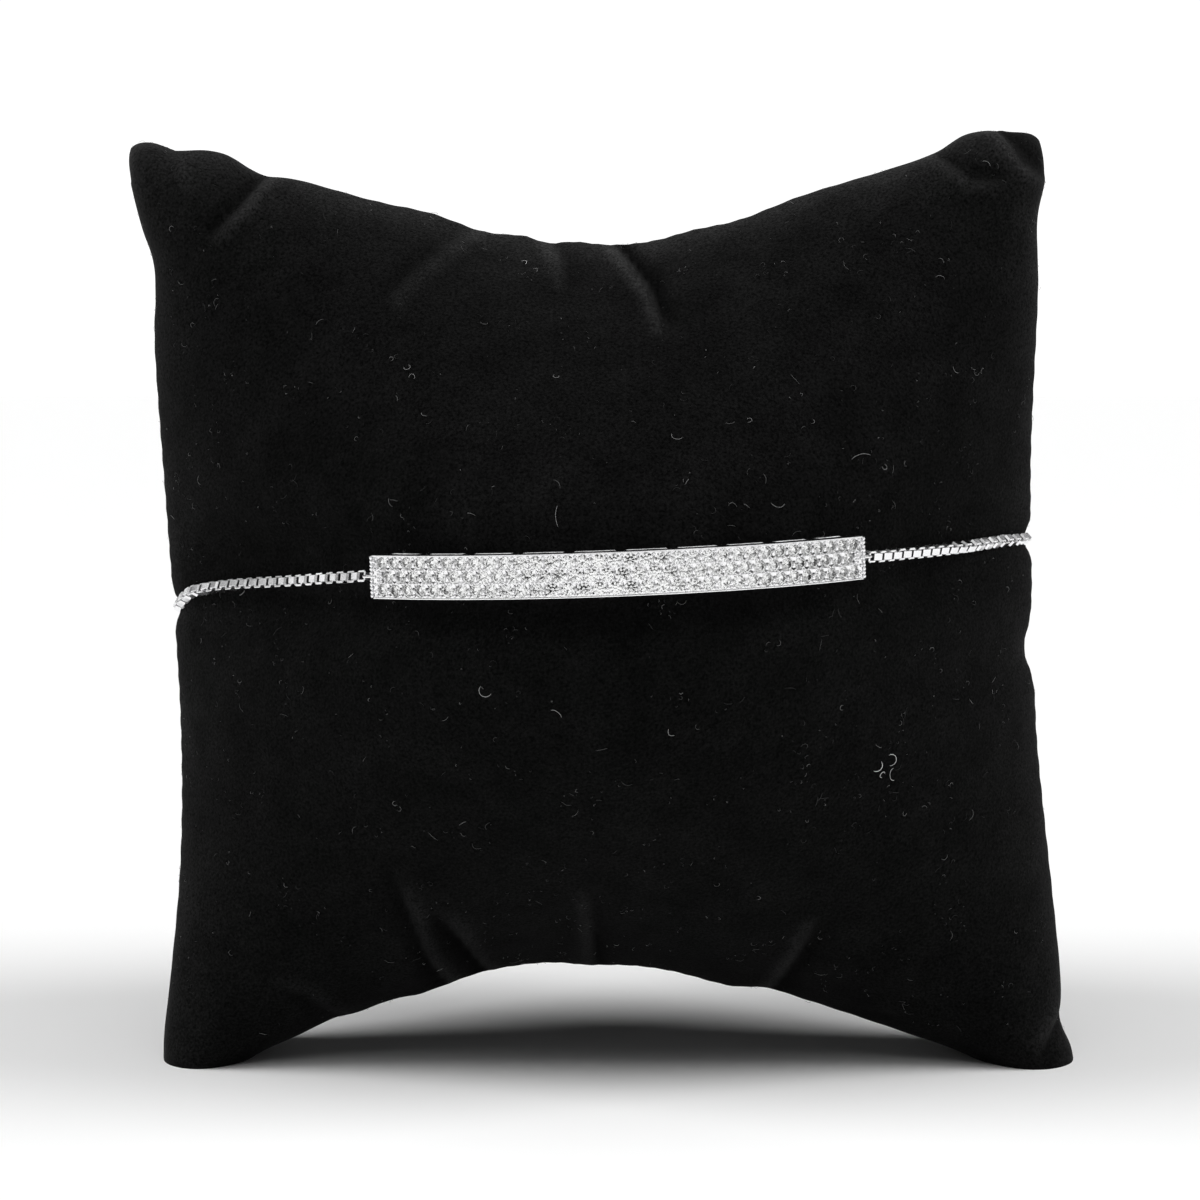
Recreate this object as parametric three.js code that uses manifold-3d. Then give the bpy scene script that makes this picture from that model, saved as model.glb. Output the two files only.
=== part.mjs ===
// A curved pave bar bracelet on a fine box chain, worn by a small velvet display pillow.
// Millimetres. +Z is up, the pillow's front faces -Y, and the pillow stands on z = 0 on its two
// bottom corners. The pillow's seam lies in the plane y = 0.
import * as THREE from 'three';
import { mergeVertices } from 'three/addons/utils/BufferGeometryUtils.js';
import Module from 'manifold-3d';

// ---- Driving dimensions ----
const GAP = 0.3; // clearance kept between pieces that rest on each other
const SHORTEST_EDGE = 0.03; // anything shorter, where two curved surfaces cut, is smoothed away

// The seam round the pillow, seen square on, from tip to tip of the corner ears.
const SEAM = {
  left: [
    { x: -36.4, z: -4.4 },
    { x: -36.4, z: 1.3 },
    { x: -36.0, z: 6.3 },
    { x: -35.1, z: 16.4 },
    { x: -35.0, z: 28.8 },
    { x: -35.4, z: 38.8 },
    { x: -36.4, z: 53.5 },
    { x: -36.4, z: 63.2 },
    { x: -36.6, z: 65.6 },
    { x: -37.4, z: 68.0 },
    { x: -38.8, z: 74.8 },
  ],
  right: [
    { x: 38.6, z: -4.4 },
    { x: 38.3, z: 1.3 },
    { x: 37.5, z: 6.3 },
    { x: 36.3, z: 16.4 },
    { x: 35.3, z: 26.4 },
    { x: 34.9, z: 31.4 },
    { x: 33.9, z: 34.0 },
    { x: 34.6, z: 36.6 },
    { x: 34.5, z: 48.8 },
    { x: 34.8, z: 63.2 },
    { x: 34.7, z: 69.3 },
    { x: 35.4, z: 75.7 },
  ],
  bottom: [
    { x: -36.4, z: -4.4 },
    { x: -33.8, z: -3.0 },
    { x: -28.4, z: 0.6 },
    { x: -23.7, z: 2.8 },
    { x: -15.4, z: 5.2 },
    { x: -9.2, z: 7.2 },
    { x: -2.5, z: 7.9 },
    { x: 4.0, z: 7.6 },
    { x: 13.6, z: 5.4 },
    { x: 21.9, z: 3.1 },
    { x: 30.3, z: -0.1 },
    { x: 35.4, z: -3.2 },
    { x: 38.6, z: -4.4 },
  ],
  top: [
    { x: -38.8, z: 74.8 },
    { x: -35.1, z: 74.8 },
    { x: -31.1, z: 74.0 },
    { x: -23.9, z: 71.7 },
    { x: -11.8, z: 68.8 },
    { x: -4.0, z: 66.9 },
    { x: 0.3, z: 66.6 },
    { x: 4.7, z: 67.3 },
    { x: 12.4, z: 69.8 },
    { x: 20.5, z: 72.6 },
    { x: 26.3, z: 74.2 },
    { x: 29.5, z: 75.7 },
    { x: 35.4, z: 75.7 },
  ],
};
const PILLOW_HALF_DEPTH = 25.4; // seam plane to the middle of the front
const SEAM_ROUND = 0.07; // share of that depth that turns in sharply at the seam
const DIAGONAL_FILL = 0.8; // share by which the stuffing thickens towards the corners
const EAR_DEPTH = 13; // stuffing in the corner ears
const PILLOW_CELLS = 38; // mesh cells across each panel

// Folds pressed into both panels, each running in from the seam.
const FOLDS = [
  { x: 1.5, z: 67.2, toX: 5.3, toZ: 59.4, depth: 1.5, width: 1.5 },
  { x: -4.5, z: 67.4, toX: -3.7, toZ: 63.4, depth: 0.7, width: 1.5 },
  { x: -9.9, z: 68.8, toX: -15.7, toZ: 64.6, depth: 0.7, width: 2.0 },
  { x: -26.9, z: 73.2, toX: -31.5, toZ: 68.0, depth: 0.8, width: 1.8 },
  { x: 26.3, z: 74.6, toX: 31.7, toZ: 72.0, depth: 0.9, width: 1.8 },
  { x: -9.9, z: 7.0, toX: -18.3, toZ: 16.4, depth: 1.1, width: 1.9 },
  { x: -1.3, z: 7.4, toX: -1.3, toZ: 12.8, depth: 0.8, width: 1.5 },
  { x: 13.5, z: 5.2, toX: 17.1, toZ: 11.8, depth: 1.1, width: 1.8 },
];

// The bar: an arc of a circle whose axis is upright before the band is tipped.
const BAR = {
  outerRadius: 28.5,
  depth: 2.35,
  width: 3.22,
  halfAngle: 40.2, // degrees
  turn: 2.3, // degrees round the upright axis, right end further back
  centreX: 0,
  frontY: -27,
};
const RIM = 0.2;
const PAVE_RECESS = 0.7;
const FRONT_PLATE = 0.35;
const SIDE_WALL = 0.35;
const END_WALL = 0.5;
const SLOT = { count: 10, pitch: 3.93, length: 3.1, rise: 0.9, backRail: 0.25 };
const END_LOOP = { radius: 0.42, wire: 0.17, reach: 0.32 };
const PAVE_PROUD = 0.05;
const BAND_TIP = 0.0367; // rise of the band to the right, for each mm of x
const BAND_HEIGHT = 42.13; // of the bar's middle line at x = 0

// Height of the chain's line on the front of the pillow, on each side of the bar.
const CHAIN_LINE = [
  { x: -36.1, z: 37.4 },
  { x: -34.5, z: 38.4 },
  { x: -32.0, z: 39.7 },
  { x: -28.5, z: 40.4 },
  { x: -24.3, z: 40.9 },
  { x: -18.4, z: 41.5 },
  { x: 20.2, z: 42.9 },
  { x: 27.5, z: 43.0 },
  { x: 35.3, z: 43.3 },
];
const CHAIN = { width: 0.9, sides: 8, steps: 40, press: 0.35, seamTurn: 1.6, seamClearance: 0.25 };

const CLASP = {
  length: 6.2,
  bodyRadius: 2.0,
  tailRadius: 0.95,
  thick: 1.3,
  window: 1.05,
  eye: 0.45,
  ringRadius: 1.45,
  ringWire: 0.3,
  ringTilt: 30, // degrees
  stand: 1.35, // middle of its plate above the cover
};

const VELVET = new THREE.MeshStandardMaterial({ color: 0x0b0b0d, roughness: 1, metalness: 0 });
const SILVER = new THREE.MeshStandardMaterial({ color: 0xd8d9dc, roughness: 0.18, metalness: 1 });
const STONE = new THREE.MeshStandardMaterial({ color: 0xf4f6fa, roughness: 0.05, metalness: 0 });

const wasm = await Module();
wasm.setup();

// ---- Closed meshes and solids ----

// A geometry with only its positions left, shared vertices merged.
function closedMesh(geometry) {
  const bare = geometry.clone();
  bare.deleteAttribute('normal');
  bare.deleteAttribute('uv');
  return mergeVertices(bare, 1e-5);
}

function solidOf(geometry) {
  const mesh = closedMesh(geometry);
  return new wasm.Manifold(
    new wasm.Mesh({
      numProp: 3,
      vertProperties: new Float32Array(mesh.attributes.position.array),
      triVerts: new Uint32Array(mesh.index.array),
    }),
  );
}

function geometryOf(solid) {
  const mesh = solid.simplify(SHORTEST_EDGE).getMesh();
  const geometry = new THREE.BufferGeometry();
  geometry.setAttribute('position', new THREE.BufferAttribute(mesh.vertProperties, 3));
  geometry.setIndex(new THREE.BufferAttribute(mesh.triVerts, 1));
  geometry.computeVertexNormals();
  return geometry;
}

function namedMesh(name, geometry, material) {
  const mesh = new THREE.Mesh(geometry, material);
  mesh.name = name;
  return mesh;
}

// ---- The pillow's shape ----

// A smooth curve through a table of seam points, as points evenly spread along it.
function seamCurve(rows) {
  return new THREE.CatmullRomCurve3(
    rows.map((row) => new THREE.Vector3(row.x, 0, row.z)),
    false,
    'centripetal',
  );
}

const EDGE = {
  left: seamCurve(SEAM.left),
  right: seamCurve(SEAM.right),
  bottom: seamCurve(SEAM.bottom),
  top: seamCurve(SEAM.top),
};

// The value of one coordinate of a seam edge where its other coordinate has a given value.
const EDGE_SAMPLES = 400;
const EDGE_TABLE = Object.fromEntries(
  Object.entries(EDGE).map(([name, curve]) => [name, curve.getSpacedPoints(EDGE_SAMPLES)]),
);

function edgeValue(name, along, at) {
  const points = EDGE_TABLE[name];
  const across = along === 'x' ? 'z' : 'x';
  if (at <= points[0][along]) return points[0][across];
  for (let i = 1; i < points.length; i += 1) {
    const a = points[i - 1];
    const b = points[i];
    if (at <= b[along]) {
      const share = (at - a[along]) / Math.max(b[along] - a[along], 1e-9);
      return a[across] + (b[across] - a[across]) * share;
    }
  }
  return points[points.length - 1][across];
}

// Where a point of the front view lies between two opposite edges, from -1 to 1.
function spanShare(value, low, high) {
  const share = (2 * value - low - high) / (high - low);
  return Math.min(Math.max(share, -1), 1);
}

// The section of a stuffed panel: a flat curve over the middle that turns in at the seam.
function crown(share) {
  return (1 - SEAM_ROUND) * (1 - share ** 2) + SEAM_ROUND * Math.sqrt(1 - Math.abs(share) ** 8);
}

// The corner ears are stuffed too: they stay thick almost to their tips.
function ear(u, v) {
  const round = Math.sqrt((1 - u ** 8) * (1 - v ** 8));
  return round * (u * v) ** 4;
}

// How far a fold presses in at a point: deepest in its middle, fading towards its inner end.
function foldDepth(x, z) {
  let total = 0;
  for (const fold of FOLDS) {
    const run = new THREE.Vector2(fold.toX - fold.x, fold.toZ - fold.z);
    const from = new THREE.Vector2(x - fold.x, z - fold.z);
    const share = Math.min(Math.max(from.dot(run) / run.lengthSq(), 0), 1);
    const away = from.distanceTo(run.multiplyScalar(share));
    total += fold.depth * Math.exp(-((away / fold.width) ** 2)) * (1 - share) ** 0.5;
  }
  return total;
}

function stuffing(x, z) {
  const u = spanShare(x, edgeValue('left', 'z', z), edgeValue('right', 'z', z));
  const v = spanShare(z, edgeValue('bottom', 'x', x), edgeValue('top', 'x', x));
  const panel = PILLOW_HALF_DEPTH * crown(u) * crown(v) * (1 + DIAGONAL_FILL * (u * v) ** 2);
  const full = panel + EAR_DEPTH * ear(u, v);
  return Math.max(full - foldDepth(x, z) * Math.min(full / 4, 1), 0);
}

// ---- The band's line on the pillow ----

const chainLine = new THREE.CatmullRomCurve3(
  CHAIN_LINE.map((row) => new THREE.Vector3(row.x, 0, row.z)),
  false,
  'centripetal',
);
const chainLinePoints = chainLine.getSpacedPoints(EDGE_SAMPLES);

function frontLineHeight(x) {
  if (x <= chainLinePoints[0].x) return chainLinePoints[0].z;
  for (let i = 1; i < chainLinePoints.length; i += 1) {
    const a = chainLinePoints[i - 1];
    const b = chainLinePoints[i];
    if (x <= b.x) return a.z + ((b.z - a.z) * (x - a.x)) / (b.x - a.x);
  }
  return chainLinePoints[chainLinePoints.length - 1].z;
}

// Behind the pillow the chain runs straight from one side to the other.
function backLineHeight(x) {
  const first = CHAIN_LINE[0];
  const last = CHAIN_LINE[CHAIN_LINE.length - 1];
  return first.z + ((last.z - first.z) * (x - first.x)) / (last.x - first.x);
}

const barAxisY = BAR.frontY + BAR.outerRadius;
const barInnerRadius = BAR.outerRadius - BAR.depth;

// How deep the panel can stand under the bar: its inner curve, and straight on past its ends.
function barSeatDepth(x) {
  const seat = barInnerRadius - GAP;
  const reach = seat * Math.sin(THREE.MathUtils.degToRad(BAR.halfAngle + BAR.turn));
  const dx = Math.abs(x - BAR.centreX);
  const inside = Math.min(dx, reach);
  const depth = Math.sqrt(seat ** 2 - inside ** 2);
  return depth - barAxisY - (dx - inside) * (reach / Math.sqrt(seat ** 2 - reach ** 2));
}

// The bar presses the panel back to its own inner curve; the chain presses it in slightly.
function pressedDepth(x, z, side) {
  const base = stuffing(x, z);
  const line = side < 0 ? frontLineHeight(x) : backLineHeight(x);
  const away = Math.max(Math.abs(z - line) - BAR.width / 2 - 0.4, 0);
  const fade = Math.exp(-((away / 2.6) ** 2));
  const underChain = base - CHAIN.press * Math.min(base / 4, 1);
  const allowed = side < 0 ? Math.min(underChain, barSeatDepth(x)) : underChain;
  return base - Math.max(base - allowed, 0) * fade;
}

// A point of the pillow's cover.
function coverPoint(x, z, side) {
  return new THREE.Vector3(x, side * pressedDepth(x, z, side), z);
}

// The front view's point at shares s and t of the way across and up, from the four seam edges.
function panelPoint(s, t) {
  const [bottom, top] = [EDGE.bottom.getPointAt(s), EDGE.top.getPointAt(s)];
  const [left, right] = [EDGE.left.getPointAt(t), EDGE.right.getPointAt(t)];
  const corner = (edge, end) => EDGE[edge].getPointAt(end);
  const blend = (key) =>
    bottom[key] * (1 - t) + top[key] * t + left[key] * (1 - s) + right[key] * s -
    (corner('bottom', 0)[key] * (1 - s) * (1 - t) + corner('bottom', 1)[key] * s * (1 - t)) -
    (corner('top', 0)[key] * (1 - s) * t + corner('top', 1)[key] * s * t);
  return { x: blend('x'), z: blend('z') };
}

// Shares along an edge, closer together towards the seams, where the cover turns most.
function spread(i, count) {
  const even = i / count;
  return 0.5 * even + 0.5 * (0.5 - 0.5 * Math.cos(Math.PI * even));
}

function pillowSolid() {
  const n = PILLOW_CELLS;
  const positions = [];
  const indices = [];
  for (const side of [-1, 1]) {
    const first = positions.length / 3;
    for (let j = 0; j <= n; j += 1) {
      for (let i = 0; i <= n; i += 1) {
        const { x, z } = panelPoint(spread(i, n), spread(j, n));
        const onSeam = i === 0 || j === 0 || i === n || j === n;
        const point = onSeam ? new THREE.Vector3(x, 0, z) : coverPoint(x, z, side);
        positions.push(point.x, point.y, point.z);
      }
    }
    for (let j = 0; j < n; j += 1) {
      for (let i = 0; i < n; i += 1) {
        const a = first + j * (n + 1) + i;
        const [b, c, d] = [a + 1, a + n + 2, a + n + 1];
        if (side < 0) indices.push(a, b, c, a, c, d);
        else indices.push(a, c, b, a, d, c);
      }
    }
  }
  const geometry = new THREE.BufferGeometry();
  geometry.setAttribute('position', new THREE.Float32BufferAttribute(positions, 3));
  geometry.setIndex(indices);
  // The corners it stands on are squashed flat underneath.
  const floor = new THREE.BoxGeometry(120, 60, 20).translate(0, 0, -10);
  return solidOf(geometry).subtract(solidOf(floor));
}

// ---- The bar ----

const bar = new THREE.Group();
bar.position.set(BAR.centreX, barAxisY, BAND_HEIGHT + BAND_TIP * BAR.centreX);
bar.rotation.set(0, -Math.atan(BAND_TIP), THREE.MathUtils.degToRad(BAR.turn), 'YXZ');
bar.updateMatrixWorld();

// A block bent round the bar's axis, between two radii, two angles and two heights.
function arcBlock(innerRadius, outerRadius, fromAngle, toAngle, low, high) {
  const shape = new THREE.Shape();
  const turn = (angle) => THREE.MathUtils.degToRad(angle - 90);
  shape.absarc(0, 0, outerRadius, turn(fromAngle), turn(toAngle), false);
  shape.absarc(0, 0, innerRadius, turn(toAngle), turn(fromAngle), true);
  const facets = Math.max(2, Math.round((toAngle - fromAngle) / 2.2));
  const geometry = new THREE.ExtrudeGeometry(shape, {
    depth: high - low,
    bevelEnabled: false,
    curveSegments: facets,
  });
  return solidOf(geometry.translate(0, 0, low));
}

function degreesAlong(length, radius) {
  return THREE.MathUtils.radToDeg(length / radius);
}

// A point straight out from the bar's end, a given distance past the middle of its loop.
function endLoopPoint(end, past) {
  const angle = THREE.MathUtils.degToRad(end * BAR.halfAngle);
  const along = new THREE.Vector3(Math.cos(angle), Math.sin(angle), 0).multiplyScalar(end);
  return new THREE.Vector3(Math.sin(angle), -Math.cos(angle), 0)
    .multiplyScalar(BAR.outerRadius - BAR.depth / 2)
    .addScaledVector(along, END_LOOP.reach + past);
}

// A small ring of wire standing on the bar's end wall, in the plane of the band.
function endLoop(end) {
  const ring = new THREE.TorusGeometry(END_LOOP.radius, END_LOOP.wire, 8, 16);
  const middle = endLoopPoint(end, 0);
  return solidOf(ring.translate(middle.x, middle.y, 0));
}

function barSolid() {
  const { outerRadius: outer, halfAngle: half, width } = BAR;
  const top = width / 2;
  const end = half - degreesAlong(END_WALL, outer);
  const hollowTop = outer - PAVE_RECESS - FRONT_PLATE;
  let bar = arcBlock(barInnerRadius, outer, -half, half, -top, top);
  const recessHalf = half - degreesAlong(RIM, outer);
  bar = bar.subtract(
    arcBlock(outer - PAVE_RECESS, outer + 1, -recessHalf, recessHalf, -top + RIM, top - RIM),
  );
  const hollowHalf = top - SIDE_WALL;
  bar = bar.subtract(
    arcBlock(barInnerRadius - 1, hollowTop, -end, end, -hollowHalf, hollowHalf),
  );
  const slotLow = barInnerRadius + SLOT.backRail;
  const halfSlot = degreesAlong(SLOT.length / 2, outer);
  for (let i = 0; i < SLOT.count; i += 1) {
    const middle = degreesAlong((i - (SLOT.count - 1) / 2) * SLOT.pitch, outer);
    bar = bar.subtract(
      arcBlock(slotLow, slotLow + SLOT.rise, middle - halfSlot, middle + halfSlot, -width, width),
    );
  }
  return bar.add(endLoop(-1)).add(endLoop(1));
}

function paveSolid() {
  const half = BAR.halfAngle - degreesAlong(RIM + GAP, BAR.outerRadius);
  const halfWidth = BAR.width / 2 - RIM - GAP;
  const under = BAR.outerRadius - PAVE_RECESS + GAP;
  return arcBlock(under, BAR.outerRadius + PAVE_PROUD, -half, half, -halfWidth, halfWidth);
}

// ---- The clasp's place, behind the pillow on the chain's straight line ----

const clasp = new THREE.Group();
clasp.position.set(0, pressedDepth(0, backLineHeight(0), 1) + CLASP.stand, backLineHeight(0));
clasp.rotation.set(Math.PI / 2, Math.atan2(backLineHeight(0) - backLineHeight(1), 1), 0, 'YXZ');
clasp.updateMatrixWorld();

// Where each chain ends: the left one at the clasp's eye, the right one at its tilted ring.
function claspEnd(end) {
  const tilt = THREE.MathUtils.degToRad(CLASP.ringTilt);
  if (end < 0) return new THREE.Vector3(-(CLASP.length / 2 + CLASP.tailRadius + 2 * GAP), 0, 0);
  return new THREE.Vector3(
    CLASP.length / 2 + CLASP.ringRadius * Math.cos(tilt) + CLASP.ringWire + GAP,
    0,
    CLASP.ringRadius * Math.sin(tilt),
  );
}

// ---- The chain ----

// The chain's centre where it lies on the pillow: clear of the cover, along its normal.
const chainOffset = CHAIN.width / 2 + GAP;

function chainPoint(x, side) {
  const z = side < 0 ? frontLineHeight(x) : backLineHeight(x);
  const step = 0.2;
  const slopeX = (pressedDepth(x + step, z, side) - pressedDepth(x - step, z, side)) / (2 * step);
  const normal = new THREE.Vector3(-slopeX, side, 0).normalize();
  return coverPoint(x, z, side).addScaledVector(normal, chainOffset);
}

// From the bar's loop over the front, round the seam, and along the back to the clasp.
function chainRoute(end) {
  const start = bar.localToWorld(endLoopPoint(end, END_LOOP.radius + END_LOOP.wire + GAP));
  const sideX = edgeValue(end < 0 ? 'left' : 'right', 'z', frontLineHeight(end * 35));
  const nearSide = sideX - end * CHAIN.seamTurn;
  const finish = clasp.localToWorld(claspEnd(end));
  const points = [start];
  const rows = 12;
  for (let i = 1; i <= rows; i += 1) {
    points.push(chainPoint(start.x + ((nearSide - start.x) * i) / rows, -1));
  }
  const clear = chainOffset + CHAIN.seamClearance;
  points.push(new THREE.Vector3(sideX + end * clear, 0, frontLineHeight(sideX)));
  for (let i = rows; i >= 1; i -= 1) {
    points.push(chainPoint(finish.x + ((nearSide - finish.x) * i) / rows, 1));
  }
  points.push(finish);
  return new THREE.CatmullRomCurve3(points, false, 'centripetal');
}

function chainGeometry(end) {
  const section = new THREE.Shape();
  for (let i = 0; i < CHAIN.sides; i += 1) {
    const angle = ((i + 0.5) / CHAIN.sides) * 2 * Math.PI;
    const corner = [Math.cos(angle), Math.sin(angle)].map((value) => (value * CHAIN.width) / 2);
    if (i === 0) section.moveTo(...corner);
    else section.lineTo(...corner);
  }
  section.closePath();
  return closedMesh(
    new THREE.ExtrudeGeometry(section, { steps: CHAIN.steps, extrudePath: chainRoute(end) }),
  );
}

// ---- The clasp ----

// A flat claw with a window for the ring at one end and an eye at the other, closed and plain.
function claspSolid() {
  const { length, bodyRadius, tailRadius, thick } = CLASP;
  const bodyX = length / 2 - bodyRadius + 0.6;
  const tailX = -length / 2;
  const shape = new THREE.Shape();
  const lean = Math.asin((bodyRadius - tailRadius) / (bodyX - tailX));
  shape.absarc(bodyX, 0, bodyRadius, -Math.PI / 2 - lean, Math.PI / 2 + lean, false);
  shape.absarc(tailX, 0, tailRadius, Math.PI / 2 + lean, (3 * Math.PI) / 2 - lean, false);
  shape.closePath();
  const window = new THREE.Path().absellipse(
    bodyX + 0.1, 0, CLASP.window * 1.15, CLASP.window, 0, 2 * Math.PI, true, 0,
  );
  const eye = new THREE.Path().absarc(tailX, 0, CLASP.eye, 0, 2 * Math.PI, true);
  shape.holes.push(window, eye);
  const bevel = 0.2;
  const plate = new THREE.ExtrudeGeometry(shape, {
    depth: thick - 2 * bevel,
    bevelThickness: bevel,
    bevelSize: bevel,
    bevelOffset: -bevel,
    bevelSegments: 1,
    curveSegments: 10,
  });
  plate.translate(0, 0, -(thick - 2 * bevel) / 2);
  const ring = new THREE.TorusGeometry(CLASP.ringRadius, CLASP.ringWire, 8, 20);
  ring.rotateY(-THREE.MathUtils.degToRad(CLASP.ringTilt));
  ring.translate(length / 2, 0, 0);
  return solidOf(plate).add(solidOf(ring));
}

// ---- The assembly ----

const part = new THREE.Group();
part.add(namedMesh('display_pillow', geometryOf(pillowSolid()), VELVET));
part.add(namedMesh('chain_left', chainGeometry(-1), SILVER));
part.add(namedMesh('chain_right', chainGeometry(1), SILVER));

bar.add(namedMesh('bar_frame', geometryOf(barSolid()), SILVER));
bar.add(namedMesh('pave_stones', geometryOf(paveSolid()), STONE));
part.add(bar);

clasp.add(namedMesh('clasp', geometryOf(claspSolid()), SILVER));
part.add(clasp);

export default part;
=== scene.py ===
# A curved pave bar bracelet on a fine box chain, worn by a small black velvet display pillow.
import random
from math import atan, atan2, copysign, cos, hypot, pi, radians, sin, sqrt, tan

import bpy
import numpy as np
from mathutils import Matrix, Vector


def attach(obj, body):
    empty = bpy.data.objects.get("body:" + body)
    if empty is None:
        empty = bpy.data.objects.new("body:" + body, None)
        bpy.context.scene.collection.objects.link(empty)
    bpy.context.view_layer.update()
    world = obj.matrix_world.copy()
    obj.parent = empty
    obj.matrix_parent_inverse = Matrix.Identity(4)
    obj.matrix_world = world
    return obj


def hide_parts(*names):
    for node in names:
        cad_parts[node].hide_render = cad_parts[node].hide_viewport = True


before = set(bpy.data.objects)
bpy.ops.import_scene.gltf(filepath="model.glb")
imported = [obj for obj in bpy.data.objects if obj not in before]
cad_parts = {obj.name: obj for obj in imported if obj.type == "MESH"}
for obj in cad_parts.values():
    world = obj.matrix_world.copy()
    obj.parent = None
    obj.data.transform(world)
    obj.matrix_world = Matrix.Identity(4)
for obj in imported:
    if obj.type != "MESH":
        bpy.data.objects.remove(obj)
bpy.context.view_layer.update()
bpy.ops.object.select_all(action="DESELECT")
scene = bpy.context.scene


# ---------------------------------------------------------------
# The studio table. The pillow stands on a wide sheet of matt white board under one softbox
# overhead and one leaning in from each side, with two smaller ones in front and a white room
# around. The camera stands a little above the bar and looks slightly down on it.
MM = 0.001
CAMERA_PLACE = (-0.5, -212.0, 56.5)
CAMERA_TILT = 85.0  # degrees up from straight down
FLOOR_SIZE = 12.0  # metres
FRONT_BOX = (0.42, -0.38, 0.5)  # the right one's place, in metres, aimed at FRONT_BOX_AIM
FRONT_BOX_AIM = (0.0, 0.0, 0.04)
FRONT_BOX_SIZE = (0.3, 0.45)
FRONT_BOX_WATTS = 0.22


def mm(*values):
    return tuple(value * MM for value in values)


bpy.ops.object.camera_add(location=mm(*CAMERA_PLACE), rotation=(radians(CAMERA_TILT), 0.0, 0.0))
camera = bpy.context.object
camera.name = "camera"
camera.data.sensor_width = 36.0
camera.data.lens = 78.0
camera.data.clip_start = 0.01
camera.data.clip_end = 20.0
scene.camera = camera
scene.view_settings.view_transform = "Standard"


def new_material(name, color, rough, **more):
    """A material with a Principled shader, its inputs set by name, and that shader."""
    material = bpy.data.materials.new(name)
    material.use_nodes = True
    shader = material.node_tree.nodes["Principled BSDF"]
    for key, value in {"Base Color": (*color, 1.0), "Roughness": rough, **more}.items():
        shader.inputs[key].default_value = value
    return material, shader


def add_node(owner, kind, **values):
    """A node of a material, world or group, with its properties and its inputs by name set."""
    node = getattr(owner, "node_tree", owner).nodes.new(kind)
    for key, value in values.items():
        if key in node.inputs:
            node.inputs[key].default_value = value
        else:
            setattr(node, key, value)
    return node


def add_range(owner, low, high, to_low=0.0, to_high=1.0):
    """A node that turns the values between low and high into those between two others."""
    ends = {"From Min": low, "From Max": high, "To Min": to_low, "To Max": to_high}
    return add_node(owner, "ShaderNodeMapRange", **ends)


def wire(owner, *links):
    """Joins sockets, each link given as a node, its output, another node and its input."""
    tree = getattr(owner, "node_tree", owner)
    for source, output, target, socket in links:
        tree.links.new(source.outputs[output], target.inputs[socket])


bpy.ops.mesh.primitive_plane_add(size=FLOOR_SIZE, location=(0.0, 0.0, 0.0))
floor = bpy.context.object
floor.name = "floor_board"
board, _ = new_material("matt_white_board", (0.88, 0.88, 0.88), 0.9,
                        **{"Specular IOR Level": 0.1})
floor.data.materials.append(board)

# Each overhead softbox: its name, how far it leans to its side and towards the front, how wide
# it looks from the table, all in degrees, and its strength.
OVERHEAD_BOXES = (
    ("overhead_softbox", 0.0, 16.0, 58.0, 1.35),
    ("left_softbox", -49.0, 9.0, 30.0, 1.72),
    ("right_softbox", 49.0, 9.0, 30.0, 1.72),
)
softboxes = []
for name, lean, tilt, width, strength in OVERHEAD_BOXES:
    bpy.ops.object.light_add(type="SUN", rotation=(radians(tilt), radians(lean), 0.0))
    overhead = bpy.context.object
    overhead.name = name
    overhead.data.energy = strength
    overhead.data.angle = radians(width)
    softboxes.append(overhead)
for name, side in (("front_softbox_left", -1), ("front_softbox_right", 1)):
    spot = Vector((side * FRONT_BOX[0], FRONT_BOX[1], FRONT_BOX[2]))
    aim = (Vector(FRONT_BOX_AIM) - spot).to_track_quat("-Z", "Y").to_euler()
    bpy.ops.object.light_add(type="AREA", location=spot, rotation=aim)
    box = bpy.context.object
    box.name = name
    box.data.shape = "RECTANGLE"
    box.data.size, box.data.size_y = FRONT_BOX_SIZE
    box.data.energy = FRONT_BOX_WATTS
    softboxes.append(box)
for softbox in softboxes:  # the metal and the stones mirror the room in their place
    softbox.visible_glossy = False
    softbox.visible_transmission = False

# What lights the matt surfaces is dim and even. What the metal and the stones mirror is the room
# itself: pale walls with darker gaps between the lamps, and the dark round of the camera.
room = bpy.data.worlds.new("white_room")
scene.world = room
room.use_nodes = True
room.cycles.sampling_method = "NONE"
white = (1.0, 1.0, 1.0, 1.0)
room_fill = room.node_tree.nodes["Background"]
room_fill.inputs["Strength"].default_value = 0.03
room_fill.inputs["Color"].default_value = white
room_seen = add_node(room, "ShaderNodeBackground", Strength=1.1, Color=white)
room_mirrored = add_node(room, "ShaderNodeBackground", Color=white)
towards = add_node(room, "ShaderNodeTexCoord")
lamps = add_node(room, "ShaderNodeTexNoise", Scale=14.0, Detail=2.0)
lamp_gaps = add_range(room, 0.42, 0.60, 0.04, 1.15)
to_camera = add_node(room, "ShaderNodeVectorMath", operation="DOT_PRODUCT")
to_camera.inputs[1].default_value = (0.0, -0.9962, 0.0872)
camera_round = add_range(room, 0.94, 0.985, 1.0, 0.05)
mirrored_light = add_node(room, "ShaderNodeMath", operation="MULTIPLY")
ray = add_node(room, "ShaderNodeLightPath")
matt_or_mirror = add_node(room, "ShaderNodeMixShader")
seen_or_not = add_node(room, "ShaderNodeMixShader")
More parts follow.
